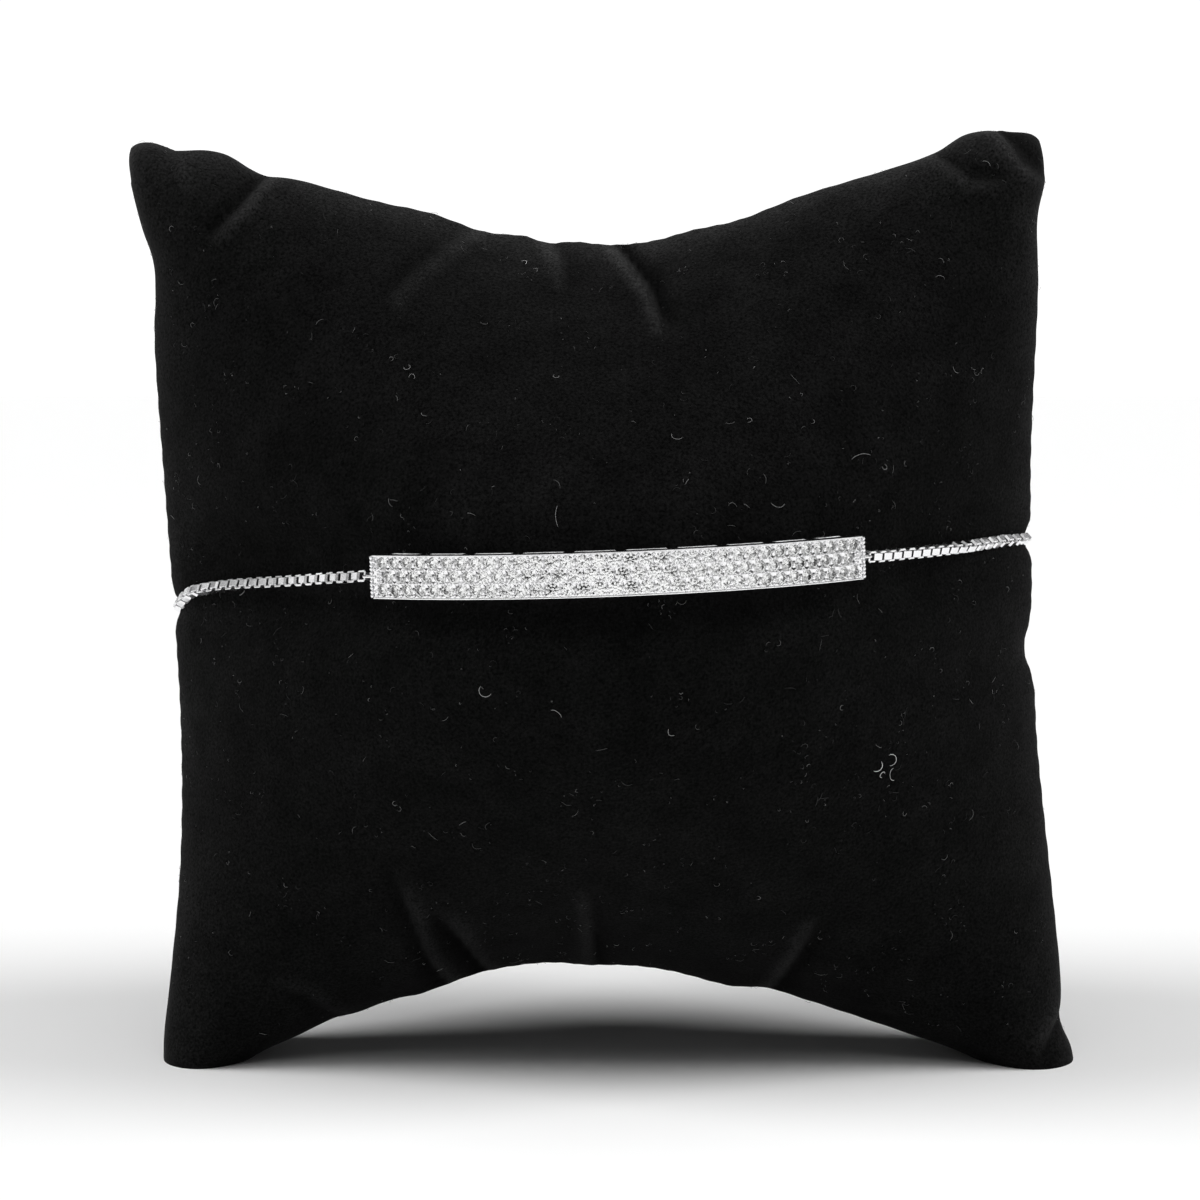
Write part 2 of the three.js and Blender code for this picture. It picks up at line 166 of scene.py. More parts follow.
wire(room,
     (towards, "Generated", lamps, "Vector"),
     (lamps, "Fac", lamp_gaps, "Value"),
     (towards, "Generated", to_camera, 0),
     (to_camera, "Value", camera_round, "Value"),
     (lamp_gaps, "Result", mirrored_light, 0),
     (camera_round, "Result", mirrored_light, 1),
     (mirrored_light, "Value", room_mirrored, "Strength"),
     (ray, "Is Diffuse Ray", matt_or_mirror, "Fac"),
     (room_mirrored, "Background", matt_or_mirror, 1),
     (room_fill, "Background", matt_or_mirror, 2),
     (ray, "Is Camera Ray", seen_or_not, "Fac"),
     (matt_or_mirror, "Shader", seen_or_not, 1),
     (room_seen, "Background", seen_or_not, 2),
     (seen_or_not, "Shader", room.node_tree.nodes["World Output"], "Surface"))


# ---------------------------------------------------------------
# The display pillow. Two square panels of black cotton velvet are sewn face to face, turned,
# stuffed hard and closed by hand, so that the seams pull in between the corners and the cover
# puckers along them. It stands on its two bottom corners, which are pressed flat.
SEAM = {  # the seam seen square on, x and z in millimetres
    "left": ((-36.7, -4.4), (-36.8, 1.3), (-36.25, 6.3), (-35.35, 16.4), (-35.2, 28.8),
             (-36.8, 59.0), (-36.6, 63.2), (-36.75, 65.6), (-37.55, 68.0), (-38.65, 73.6),
             (-38.4, 74.6)),
    "right": ((38.9, -4.4), (39.0, -1.5), (38.7, 0.9), (37.8, 3.0), (37.8, 6.3),
              (35.65, 26.4), (35.25, 31.4), (34.4, 34.0), (34.95, 36.6), (34.8, 48.8),
              (35.1, 63.2), (34.9, 69.0), (35.45, 71.9), (35.3, 74.0), (35.0, 75.2)),
    "bottom": ((-36.7, -4.4), (-33.8, -3.2), (-28.4, 0.35), (-25.8, 1.45), (-22.7, 2.95),
               (-20.4, 3.55), (-17.6, 4.6), (-15.6, 4.95), (-10.0, 6.9), (-4.6, 7.65),
               (-1.3, 7.4), (1.9, 7.4), (5.3, 6.95), (10.7, 5.6), (13.0, 5.6), (15.5, 4.85),
               (24.8, 1.8), (30.3, -0.2), (35.4, -3.5), (38.9, -4.4)),
    "top": ((-38.4, 74.6), (-37.9, 75.1), (-36.1, 75.15), (-34.9, 74.5), (-32.1, 74.5),
            (-30.3, 74.1), (-28.9, 73.2), (-27.2, 72.4), (-25.7, 72.35), (-18.5, 70.5),
            (-13.9, 69.5), (-10.4, 68.2), (-8.9, 67.9), (-6.2, 67.7), (-4.9, 67.1),
            (-2.8, 67.3), (0.3, 67.0), (3.9, 67.35), (6.9, 68.2), (10.5, 68.95), (15.6, 70.9),
            (26.4, 74.3), (28.9, 75.8), (33.2, 76.0), (34.4, 75.85), (35.0, 75.2)),
}
MIDDLE_HEIGHT = 38.0
HALF_DEPTH = 25.4  # seam plane to the middle of the front
SEAM_ROUND = 0.03  # share of that depth that turns in sharply at the seam
DIAGONAL_FILL = 0.8
EAR_DEPTH = 13.0
BAND_LINE = (  # height of the bracelet's line on the front
    (-34.9, 37.4), (-34.4, 37.8), (-33.6, 38.5), (-32.1, 39.4), (-29.8, 40.0), (-24.3, 40.7),
    (-18.4, 41.4), (20.2, 42.75), (24.6, 42.75), (28.8, 42.95), (31.3, 43.05), (34.6, 43.0),
)
BAR_RADIUS = 28.5  # outer face of the curved bar
BAR_DEPTH = 2.35
BAR_WIDTH = 3.22
BAR_FRONT_Y = -27.0
BAR_REACH_ANGLE = 42.5  # degrees from the middle to the end that stands further back
CLEARANCE = 0.3
PRESS_EDGE, PRESS_FADE = 0.4, 2.6  # past the bar's edge, where the pressed part ends and fades
CHAIN_PRESS = 0.35
CHAIN_NOTCH, NOTCH_WIDTH = 1.0, 0.6  # the chain pulls each side seam in where it crosses


def smooth_line(rows, count=400):
    """Evenly spread points of a smooth curve through rows of points."""
    rows = np.array(rows, float)
    rows = np.vstack([2 * rows[0] - rows[1], rows, 2 * rows[-1] - rows[-2]])
    dense = []
    for a, b, c, d in zip(rows, rows[1:], rows[2:], rows[3:]):
        steps = [np.linalg.norm(q - p) ** 0.5 for p, q in ((a, b), (b, c), (c, d))]
        ta, tb, tc, td = np.cumsum([0.0] + steps)
        t = np.linspace(tb, tc, 40, endpoint=False)[:, None]

        def between(p, q, start, end):
            return (end - t) / (end - start) * p + (t - start) / (end - start) * q

        ab, bc, cd = between(a, b, ta, tb), between(b, c, tb, tc), between(c, d, tc, td)
        dense.append(between(between(ab, bc, ta, tc), between(bc, cd, tb, td), tb, tc))
    dense = np.vstack(dense + [rows[-2:-1]])
    run = path_length(dense)
    at = np.linspace(0, run[-1], count + 1)
    return np.stack([np.interp(at, run, column) for column in dense.T], axis=1)


def path_length(points):
    """How far along the path each of its points lies."""
    steps = np.linalg.norm(np.diff(points, axis=0), axis=1)
    return np.concatenate([[0], np.cumsum(steps)])


EDGE = {name: smooth_line(rows) for name, rows in SEAM.items()}
band_points = smooth_line(BAND_LINE)
for side, name, (_, notch_z) in ((-1, "left", BAND_LINE[0]), (1, "right", BAND_LINE[-1])):
    pull = CHAIN_NOTCH * np.exp(-(((EDGE[name][:, 1] - notch_z) / NOTCH_WIDTH) ** 2))
    EDGE[name][:, 0] -= side * pull


def band_height(x, side):
    """Height of the bracelet's line: curved on the front, straight across the back."""
    if side < 0:
        return np.interp(x, band_points[:, 0], band_points[:, 1])
    (x0, z0), (x1, z1) = BAND_LINE[0], BAND_LINE[-1]
    return z0 + (z1 - z0) * (x - x0) / (x1 - x0)


def seam_at(name, where):
    """The height of the top or bottom seam at an x, or the x of a side seam at a height."""
    given = 1 if name in ("left", "right") else 0
    return np.interp(where, EDGE[name][:, given], EDGE[name][:, 1 - given])


def seam_shares(x, z):
    """Where a point lies between the side seams, and between the others, from -1 to 1."""
    shares = []
    for value, low, high in ((x, seam_at("left", z), seam_at("right", z)),
                             (z, seam_at("bottom", x), seam_at("top", x))):
        shares.append(np.clip((2 * value - low - high) / (high - low), -1, 1))
    return shares


def crown(share):
    return (1 - SEAM_ROUND) * (1 - share ** 2) + SEAM_ROUND * np.sqrt(1 - np.abs(share) ** 8)


def cover_depth(x, z, side):
    """How far the finished cover stands from the seam plane, pressed in by bar and chain."""
    u, v = seam_shares(x, z)
    stuffed = HALF_DEPTH * crown(u) * crown(v) * (1 + DIAGONAL_FILL * (u * v) ** 2)
    stuffed += EAR_DEPTH * np.sqrt((1 - u ** 8) * (1 - v ** 8)) * (u * v) ** 4
    stuffed = np.maximum(stuffed, 0)
    allowed = stuffed - CHAIN_PRESS * np.minimum(stuffed / 4, 1)
    if side < 0:  # the bar's inner curve, and straight on past its ends
        seat = BAR_RADIUS - BAR_DEPTH - CLEARANCE
        reach = seat * sin(radians(BAR_REACH_ANGLE))
        inside = np.minimum(np.abs(x), reach)
        slope = reach / sqrt(seat ** 2 - reach ** 2)
        depth = np.sqrt(seat ** 2 - inside ** 2) - (BAR_FRONT_Y + BAR_RADIUS)
        allowed = np.minimum(allowed, depth - (np.abs(x) - inside) * slope)
    away = np.maximum(np.abs(z - band_height(x, side)) - BAR_WIDTH / 2 - PRESS_EDGE, 0)
    return stuffed - np.maximum(stuffed - allowed, 0) * np.exp(-((away / PRESS_FADE) ** 2))


def set_mode(name):
    bpy.ops.object.mode_set(mode=name)


def select_only(*pieces):
    bpy.ops.object.select_all(action="DESELECT")
    for piece in pieces:
        piece.select_set(True)
    bpy.context.view_layer.objects.active = pieces[0]


def apply_modifier(piece, kind, **settings):
    modifier = piece.modifiers.new(kind.lower(), kind)
    for key, value in settings.items():
        setattr(modifier, key, value)
    select_only(piece)
    bpy.ops.object.modifier_apply(modifier=modifier.name)


def face_outwards(piece, merge=0.0):
    """Merges vertices that lie within a given distance, if any, and turns faces outwards."""
    select_only(piece)
    set_mode("EDIT")
    bpy.ops.mesh.select_all(action="SELECT")
    if merge:
        bpy.ops.mesh.remove_doubles(threshold=merge * MM)
    bpy.ops.mesh.normals_make_consistent(inside=False)
    set_mode("OBJECT")


def slice_all(place, facing, near=0.001, **settings):
    """Cuts all of the mesh in edit mode along a plane through a place in millimetres."""
    bpy.ops.mesh.select_all(action="SELECT")
    bpy.ops.mesh.bisect(plane_co=mm(*place), plane_no=facing, threshold=near * MM, **settings)


def pick(kind, test):
    """Selects, in edit mode, the faces, edges or vertices whose middle passes a test."""
    mesh = bpy.context.edit_object.data
    bpy.ops.mesh.select_all(action="DESELECT")
    bpy.ops.mesh.select_mode(type=kind)
    set_mode("OBJECT")
    if kind == "VERT":
        for vertex in mesh.vertices:
            vertex.select = test(vertex.co / MM, vertex.normal)
    elif kind == "EDGE":
        for edge in mesh.edges:
            a, b = (mesh.vertices[k].co / MM for k in edge.vertices)
            edge.select = test((a + b) / 2, b - a)
    else:
        for face in mesh.polygons:
            face.select = test(face.center / MM, face.normal)
    set_mode("EDIT")


def read_points(piece):
    points = np.zeros(len(piece.data.vertices) * 3)
    piece.data.vertices.foreach_get("co", points)
    return points.reshape(-1, 3)


def write_points(piece, points):
    piece.data.vertices.foreach_set("co", np.ascontiguousarray(points).ravel())
    piece.data.update()


PANEL_CELLS = 100


def panel_mesh(side, name):
    """One velvet panel, a grid cut to the seam and laid over the stuffing."""
    bpy.ops.mesh.primitive_grid_add(
        x_subdivisions=PANEL_CELLS, y_subdivisions=PANEL_CELLS, size=2.0
    )
    panel = bpy.context.object
    panel.name = name
    even = (read_points(panel)[:, :2] + 1) / 2
    s, t = (0.5 * even + 0.5 * (0.5 - 0.5 * np.cos(np.pi * even))).T
    steps = np.linspace(0, 1, len(EDGE["top"]))
    bottom, top, left, right = (
        np.stack([np.interp(share, steps, column) for column in EDGE[name].T], axis=1)
        for name, share in (("bottom", s), ("top", s), ("left", t), ("right", t))
    )
    s, t = s[:, None], t[:, None]
    flat_point = bottom * (1 - t) + top * t + left * (1 - s) + right * s
    flat_point -= EDGE["bottom"][0] * (1 - s) * (1 - t) + EDGE["bottom"][-1] * s * (1 - t)
    flat_point -= EDGE["top"][0] * (1 - s) * t + EDGE["top"][-1] * s * t
    x, z = flat_point.T
    points = np.stack([x, side * cover_depth(x, z, side), z], axis=1) * MM
    points[np.abs(even - 0.5).max(axis=1) > 0.4999, 1] = 0.0  # the rim lies in the seam plane
    write_points(panel, points)
    return panel


pillow, back_panel = panel_mesh(-1, "display_pillow_velvet"), panel_mesh(1, "back_panel")
select_only(pillow, back_panel)
bpy.ops.object.join()
face_outwards(pillow, merge=0.02)


def smooth_step(value):
    value = np.clip(value, 0, 1)
    return value * value * (3 - 2 * value)


# The cover is let settle over the stuffing as cloth. It has a little more cloth than the shape
# needs beside the seams, most of it at the middles of the top and bottom ones, which the stuffing
# throws into waves.
SIM_SCALE = 10.0  # the solver works on a pillow ten times the size
SIM_FRAMES = 24
MOST_MOVE = 0.8 * MM
VELVET_CLOTH = {
    "quality": 5, "mass": 0.3, "tension_stiffness": 20.0, "compression_stiffness": 20.0,
    "shear_stiffness": 8.0, "bending_stiffness": 0.3, "tension_damping": 10.0,
    "compression_damping": 10.0, "air_damping": 3.0, "use_pressure": True,
    "uniform_pressure_force": 1.5, "vertex_group_mass": "held", "pin_stiffness": 2.0,
    "vertex_group_shrink": "spare_cloth", "shrink_min": 0.0, "shrink_max": -0.14,
}
rest_points = read_points(pillow)
px, py, pz = (rest_points / MM).T
share_u, share_v = seam_shares(px, pz)
to_band = np.abs(pz - np.where(py < 0, band_height(px, -1), band_height(px, 1)))
# The cloth is held by the band, at the feet, in the corners and along the seam.
free = smooth_step((to_band - 3.0) / 4.0) * smooth_step((pz - 1.5) / 4.0)
free *= 1 - smooth_step((np.abs(share_u * share_v) - 0.72) / 0.2)
free[np.abs(py) < 0.01] = 0.0
spare_share = smooth_step((np.abs(share_v) - 0.5) / 0.4) * np.exp(-((px / 17.0) ** 2))
spare_share += 0.3 * smooth_step((np.abs(share_u) - 0.6) / 0.4)

write_points(pillow, rest_points * SIM_SCALE)
held = pillow.vertex_groups.new(name="held")
spare = pillow.vertex_groups.new(name="spare_cloth")
for i in range(len(rest_points)):
    held.add([i], float(1 - free[i]), "REPLACE")
    spare.add([i], float(min(spare_share[i], 1)), "REPLACE")
cloth = pillow.modifiers.new("velvet_cover", "CLOTH")
for key, value in VELVET_CLOTH.items():
    setattr(cloth.settings, key, value)
cloth.settings.effector_weights.gravity = 0.0
cloth.collision_settings.use_collision = False
for clock in (scene, cloth.point_cache):
    clock.frame_start, clock.frame_end = 1, SIM_FRAMES
for step in range(1, SIM_FRAMES + 1):
    scene.frame_set(step)
select_only(pillow)
bpy.ops.object.modifier_apply(modifier=cloth.name)
scene.frame_set(1)
pillow.vertex_groups.clear()
move = read_points(pillow) / SIM_SCALE - rest_points
length = np.linalg.norm(move, axis=1)
move *= (MOST_MOVE * np.tanh(length / MOST_MOVE) / np.maximum(length, 1e-9))[:, None]
write_points(pillow, rest_points + move)
apply_modifier(pillow, "SUBSURF", levels=1, render_levels=1)

# Where the two panels meet, the stitched seam leaves a fine sunk line, which painted shade darkens
# further on.
SEAM_HALF, SEAM_SINK = 0.14, 0.34
PAINTED_SEAM_SHADE = 0.1
AT_SEAM = 0.06  # nothing but the seam lies this near its plane
set_mode("EDIT")
pick("EDGE", lambda co, run: abs(co.y) + abs(run.y) / 2 < AT_SEAM)
bpy.ops.mesh.bevel(offset=SEAM_HALF * MM, segments=2, affect="EDGES", clamp_overlap=True)
set_mode("OBJECT")

# The creases that the hand sewing leaves: x and z along each from the seam inwards, its depth,
# its width, and the height of its lip, to the left of the way it runs where that is positive.
CREASES = (
    (((0.8, 67.2), (3.6, 63.3), (4.9, 59.6)), 1.6, 0.5, -0.6),
    (((-4.4, 67.8), (-3.1, 65.2), (-2.8, 62.8)), 0.8, 0.5, -0.8),
    (((-10.9, 68.5), (-15.3, 64.6), (-17.4, 62.0)), 0.4, 0.6, 0.9),
    (((-13.6, 6.8), (-14.6, 9.6), (-15.6, 13.8), (-16.8, 18.6)), 1.0, 0.5, -0.5),
    (((-10.1, 7.0), (-12.1, 11.6), (-13.6, 14.4)), 1.3, 0.55, -0.35),
    (((-0.6, 7.8), (-0.8, 13.0), (-1.2, 17.0)), 0.8, 0.5, 0.6),
    (((14.0, 5.6), (15.9, 10.9), (16.9, 14.0)), 0.8, 0.5, 0.7),
    (((-27.3, 72.4), (-29.2, 69.5), (-31.4, 67.0)), 0.8, 0.5, 0.9),
    (((-35.0, 74.4), (-34.4, 71.5), (-33.0, 69.5)), 0.4, 0.6, 0.4),
    (((26.7, 73.8), (28.9, 71.9), (31.6, 71.7)), 0.7, 0.5, -0.6),
    (((31.3, 76.0), (33.1, 73.2), (35.2, 71.8)), 0.9, 0.5, -0.8),
    (((37.7, 4.0), (36.6, 2.8), (35.2, 0.8)), 0.7, 0.5, -0.5),
    (((-22.3, 3.8), (-24.4, 6.2), (-27.2, 7.4)), 0.35, 0.5, -0.7),
)
PAINTED_LIP_HIGHLIGHT = 3.6  # how much painted highlight lies along a lip
PAINTED_SHADE_PER_DEPTH, PAINTED_SHADE_CAP = 0.52, 0.85  # and how much painted shade lies along a valley, and its most
CREASE_MOST = 0.55  # share of the cover's own depth there that a crease may take


def across_back(x, z):
    """Where the back panel has the crease point that the front has at x and z."""
    over = 2.0 - 0.9 * x
    old, new = seam_at("top" if z > MIDDLE_HEIGHT else "bottom", (x, over))
    return over, z + new - old


def crease_profile(x, z, line, width, lip):
    """How far each point lies in a crease's valley and on its lip, from 0 to 1."""
    nearest = np.full(x.shape, 1e9)
    across = np.zeros_like(x)
    along = np.zeros_like(x)
    for k, ((ax, az), (bx, bz)) in enumerate(zip(line, line[1:])):
        run = np.array([bx - ax, bz - az])
        share = np.clip(((x - ax) * run[0] + (z - az) * run[1]) / (run @ run), 0, 1)
        away = np.hypot(x - ax - run[0] * share, z - az - run[1] * share)
        side = np.sign(run[0] * (z - az) - run[1] * (x - ax)) * np.sign(lip)
        closer = away < nearest
        nearest[closer] = away[closer]
        across[closer] = (side * away)[closer]
        along[closer] = ((k + share) / (len(line) - 1))[closer]
    fade = np.sqrt(1 - along ** 2)
    valley = np.exp(-((nearest / np.where(across > 0, 0.7 * width, 1.7 * width)) ** 2))
    raised = np.exp(-(((across - 1.7 * width) / (1.2 * width)) ** 2))
    return fade * valley, fade * abs(lip) * raised


points = read_points(pillow)
fx, fy, fz = (points / MM).T
# The cover's painted light and shade: painted highlights on crease lips and at the seams, painted
# shade in valleys, the seam line and one corner.
painted_light_and_shade, painted_crease_shade = np.ones_like(fx), np.ones_like(fx)
for side in (-1, 1):
    on_side = smooth_step(side * fy / 0.8)
    sunk, risen = np.zeros_like(fx), np.zeros_like(fx)
    for line, depth, width, lip in CREASES:
        if side > 0:  # the back panel's creases fall elsewhere
            line = tuple(across_back(x, z) for x, z in line)
        valley, raised = crease_profile(fx, fz, line, width, lip)
        sunk += depth * valley
        risen += depth * raised * smooth_step(np.abs(fy) / 2.5)
        # Painted highlight on each lip and painted shade in each valley of a crease.
        painted_light_and_shade += on_side * depth * PAINTED_LIP_HIGHLIGHT * raised
        painted_crease_shade *= 1 - on_side * min(PAINTED_SHADE_PER_DEPTH * depth, PAINTED_SHADE_CAP) * valley
    most = CREASE_MOST * np.abs(fy)
    sunk = most * np.tanh(sunk / np.maximum(most, 1e-6))
    points[:, 1] -= side * (sunk - risen) * on_side * MM

# The seam line is pulled in, a little more at each stitch.
STITCH_STEP, STITCH_PULL = 1.9, 0.35  # between stitches, and what each adds, as a share
PUCKER_DEPTH, PUCKER_WIDTH = 0.12, 0.5  # of the velvet beside the seam
CORNER_FROM = 0.9  # the corners are turned, not pulled in
seam_run = np.arctan2(fz - MIDDLE_HEIGHT, fx) * MIDDLE_HEIGHT
pucker = 1 + STITCH_PULL * np.sin(2 * pi * seam_run / STITCH_STEP)
share_u, share_v = seam_shares(fx, fz)
sink = np.where(np.abs(fy) < AT_SEAM, SEAM_SINK * pucker, 0.0)
sink += PUCKER_DEPTH * pucker * np.exp(-((fy / PUCKER_WIDTH) ** 2))
sink[np.abs(share_u * share_v) > CORNER_FROM] = 0.0
sideways = np.abs(share_u) > np.abs(share_v)
points[:, 0] -= np.where(sideways, np.sign(share_u) * sink, 0.0) * MM
points[:, 2] -= np.where(sideways, 0.0, np.sign(share_v) * sink) * MM
write_points(pillow, points)

# Painted sheen: the pile is painted lighter where the cover turns over into a seam, as grazing
# light would show it, and most along the top, which the light from above reaches. Given are how
# much, over which distance from the seam, and again further in, along the top, the sides and the
# bottom.
PAINTED_SEAM_SHEEN = {"top": (3.0, 0.9, 1.5, 2.6), "side": (2.2, 0.7, 1.1, 2.4),
              "bottom": (0.9, 0.6, 0.3, 2.5)}
for name, away in (
    ("top", seam_at("top", fx) - fz), ("bottom", fz - seam_at("bottom", fx)),
    ("side", fx - seam_at("left", fz)), ("side", seam_at("right", fz) - fx),
):
    sharp, near, soft, far = PAINTED_SEAM_SHEEN[name]
    away = np.maximum(away, 0)
    painted_light_and_shade += sharp * np.exp(-away / near) + soft * np.exp(-away / far)
# The right top corner leans back past its fold, and painted shade darkens it there.
FOLD_X, FOLD_Z, PAINTED_CORNER_SHADE = 31.2, 75.3, 0.62
painted_shade_past_fold = smooth_step((fx - FOLD_X + fz - FOLD_Z) / 1.2) * smooth_step(-fy / 0.5)
painted_light_and_shade *= painted_crease_shade * (1 - PAINTED_CORNER_SHADE * painted_shade_past_fold)
# Painted shade along the sunk seam line.
painted_light_and_shade[np.abs(fy) < AT_SEAM] = PAINTED_SEAM_SHADE
# The painted light and shade are kept as a colour layer of the cover.
painted_light_layer = pillow.data.color_attributes.new("painted_light_and_shade", "FLOAT_COLOR", "POINT")
painted_light_layer.data.foreach_set("color", np.repeat(painted_light_and_shade[:, None], 4, axis=1).ravel())

# The feet are pressed flat on the table, and the corners' tips are rounded off.
CORNER_TIPS = [SEAM[name][end] for name in ("bottom", "top") for end in (0, -1)]
TIP_REACH = 3.0
set_mode("EDIT")
slice_all((0, 0, 0), (0, 0, 1), use_fill=True, clear_inner=True)
bpy.ops.mesh.select_all(action="SELECT")
bpy.ops.mesh.remove_doubles(threshold=0.01 * MM)
bpy.ops.mesh.fill_holes(sides=6)
set_mode("OBJECT")
face_outwards(pillow)
set_mode("EDIT")
pick("VERT", lambda co, n: co.z > 1.0
     and min(hypot(co.x - x, co.z - z) for x, z in CORNER_TIPS) < TIP_REACH)
bpy.ops.mesh.vertices_smooth(factor=0.5, repeat=14)
set_mode("OBJECT")
bpy.ops.object.shade_smooth()


def give_material(piece, material):
    piece.data.materials.clear()
    piece.data.materials.append(material)


# Black cotton velvet: a pile that swallows light face on and shows a faint grey sheen along its
# edges, brushed lighter and darker in patches, with the grain of the cut pile. Its colour is also
# multiplied by the cover's layer of painted light: painted sheen along the seams, painted
# highlights on crease lips, and painted shade in the valleys, the seam line and the right top
# corner.
velvet, velvet_shader = new_material(
    "black_cotton_velvet", (0.004, 0.004, 0.004), 0.95,
    **{"Specular IOR Level": 0.02, "Sheen Weight": 0.04, "Sheen Roughness": 0.3},
)
place = add_node(velvet, "ShaderNodeTexCoord")
pile = add_node(velvet, "ShaderNodeTexNoise", Scale=4600.0, Detail=3.0, Roughness=0.7)
brushed = add_node(velvet, "ShaderNodeTexNoise", Scale=260.0, Detail=4.0, Roughness=0.6)
pile_tone = add_node(velvet, "ShaderNodeValToRGB")
for stop, position, tone in zip(pile_tone.color_ramp.elements, (0.34, 0.68), (0.0014, 0.0074)):
    stop.position = position
    stop.color = (tone, tone, tone, 1.0)
brush_tone = add_range(velvet, 0.3, 0.7, 0.75, 1.3)
times = {"data_type": "RGBA", "blend_type": "MULTIPLY", "Factor": 1.0}
toned = add_node(velvet, "ShaderNodeMix", **times)
# The cover's layer of painted sheen, highlights and shade, multiplied into its colour.
painted_light_node = add_node(velvet, "ShaderNodeVertexColor", layer_name="painted_light_and_shade")
painted_light_mix = add_node(velvet, "ShaderNodeMix", **times)
pile_bump = add_node(velvet, "ShaderNodeBump", Strength=0.15, Distance=0.0002)
wire(velvet,
     (place, "Object", pile, "Vector"),
     (place, "Object", brushed, "Vector"),
     (pile, "Fac", pile_tone, "Fac"),
     (brushed, "Fac", brush_tone, "Value"),
     (pile_tone, "Color", toned, 6),
     (brush_tone, "Result", toned, 7),
     (toned, 2, painted_light_mix, 6),
     (painted_light_node, "Color", painted_light_mix, 7),
     (painted_light_mix, 2, velvet_shader, "Base Color"),
     (pile, "Fac", pile_bump, "Height"),
     (pile_bump, "Normal", velvet_shader, "Normal"))
give_material(pillow, velvet)
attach(pillow, "root")
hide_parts("display_pillow")


# ---------------------------------------------------------------
# Lint. White and grey cotton fibres, thinner than a hair and curled, that have settled on the
# velvet and stand out on the black. Most are under a millimetre long.
LINT_SEED = 41
LINT_COUNT = 3000
LINT_CLUSTER = 0.45  # share of the fibres that lie beside the one before
CLUSTER_REACH = 1.1
LINT_SHORTEST, LINT_LONGER = 0.15, 0.85  # length, and what a few have on top of it
LINT_CURL = 4.5  # most that a fibre turns along its length, in radians
LINT_LIFT, LINT_RADIUS = (0.02, 0.12), (0.008, 0.015)
LINT_OFF, LINT_STEPS = 0.03, 5  # its middle over the cover, and the bends along it
LINT_DARKEST, LINT_PALER = 0.02, 0.25  # grey, and what a few have on top of it
LINT_LOWEST = 2.5  # no lint lies on the feet below this height
LINT_SIDES = 3
lint_draw = random.Random(LINT_SEED)
bpy.context.view_layer.update()
cover_faces = pillow.data.polygons
cover_run = np.cumsum([face.area for face in cover_faces])
lint_rows, lint_faces, lint_tones = [], [], []


def lay_fibre(root, normal, turn, length, curl, lift, radius, tone, steps):
    """A thin closed tube that starts at root, lies along the cover and curls as it goes."""
    across = normal.orthogonal().normalized()
    across.rotate(Matrix.Rotation(turn, 3, normal))
    point, line = root.copy(), []
    for step in range(steps + 1):
        line.append(point + normal * (lift * sin(pi * min(step / steps * 1.2, 1.0))))
        point = point + across * (length / steps)
        across.rotate(Matrix.Rotation(curl / steps, 3, normal))
    first = len(lint_rows)
    for k, point in enumerate(line):
        ahead = line[min(k + 1, steps)] - line[max(k - 1, 0)]
        side = ahead.cross(normal).normalized()
        taper = 0.5 if k in (0, steps) else 1.0
        for corner in range(LINT_SIDES):
            angle = 2 * pi * corner / LINT_SIDES
            lint_rows.append(point + (side * cos(angle) + normal * sin(angle)) * (radius * taper))
            lint_tones.extend((tone, tone, tone, 1.0))
    for a in range(first, first + steps * LINT_SIDES):
        b = a + 1 if (a + 1 - first) % LINT_SIDES else a + 1 - LINT_SIDES
        lint_faces.append((a, b, b + LINT_SIDES, a + LINT_SIDES))
    end = first + steps * LINT_SIDES
    lint_faces.append(tuple(reversed(range(first, first + LINT_SIDES))))
    lint_faces.append(tuple(range(end, end + LINT_SIDES)))


for count in range(LINT_COUNT):
    beside = count > 0 and lint_draw.random() < LINT_CLUSTER
    where = lint_draw.random() * cover_run[-1]
    if beside:
        jump = Vector([lint_draw.uniform(-CLUSTER_REACH, CLUSTER_REACH) for _ in range(3)]) * MM
        _, root, normal, _ = pillow.closest_point_on_mesh(root + jump)
    else:
        face = cover_faces[int(np.searchsorted(cover_run, where))]
        root, normal = face.center.copy(), face.normal.copy()
    length = (LINT_SHORTEST + LINT_LONGER * lint_draw.random() ** 3) * MM
    curl = lint_draw.uniform(-LINT_CURL, LINT_CURL)
    lift = lint_draw.uniform(*LINT_LIFT) * MM
    radius = lint_draw.uniform(*LINT_RADIUS) * MM
    tone = LINT_DARKEST + LINT_PALER * lint_draw.random() ** 3
    turn = lint_draw.uniform(0, 2 * pi)
    if root.z > LINT_LOWEST * MM:
        lay_fibre(root + normal * LINT_OFF * MM, normal, turn, length, curl, lift, radius,
                  tone, LINT_STEPS)

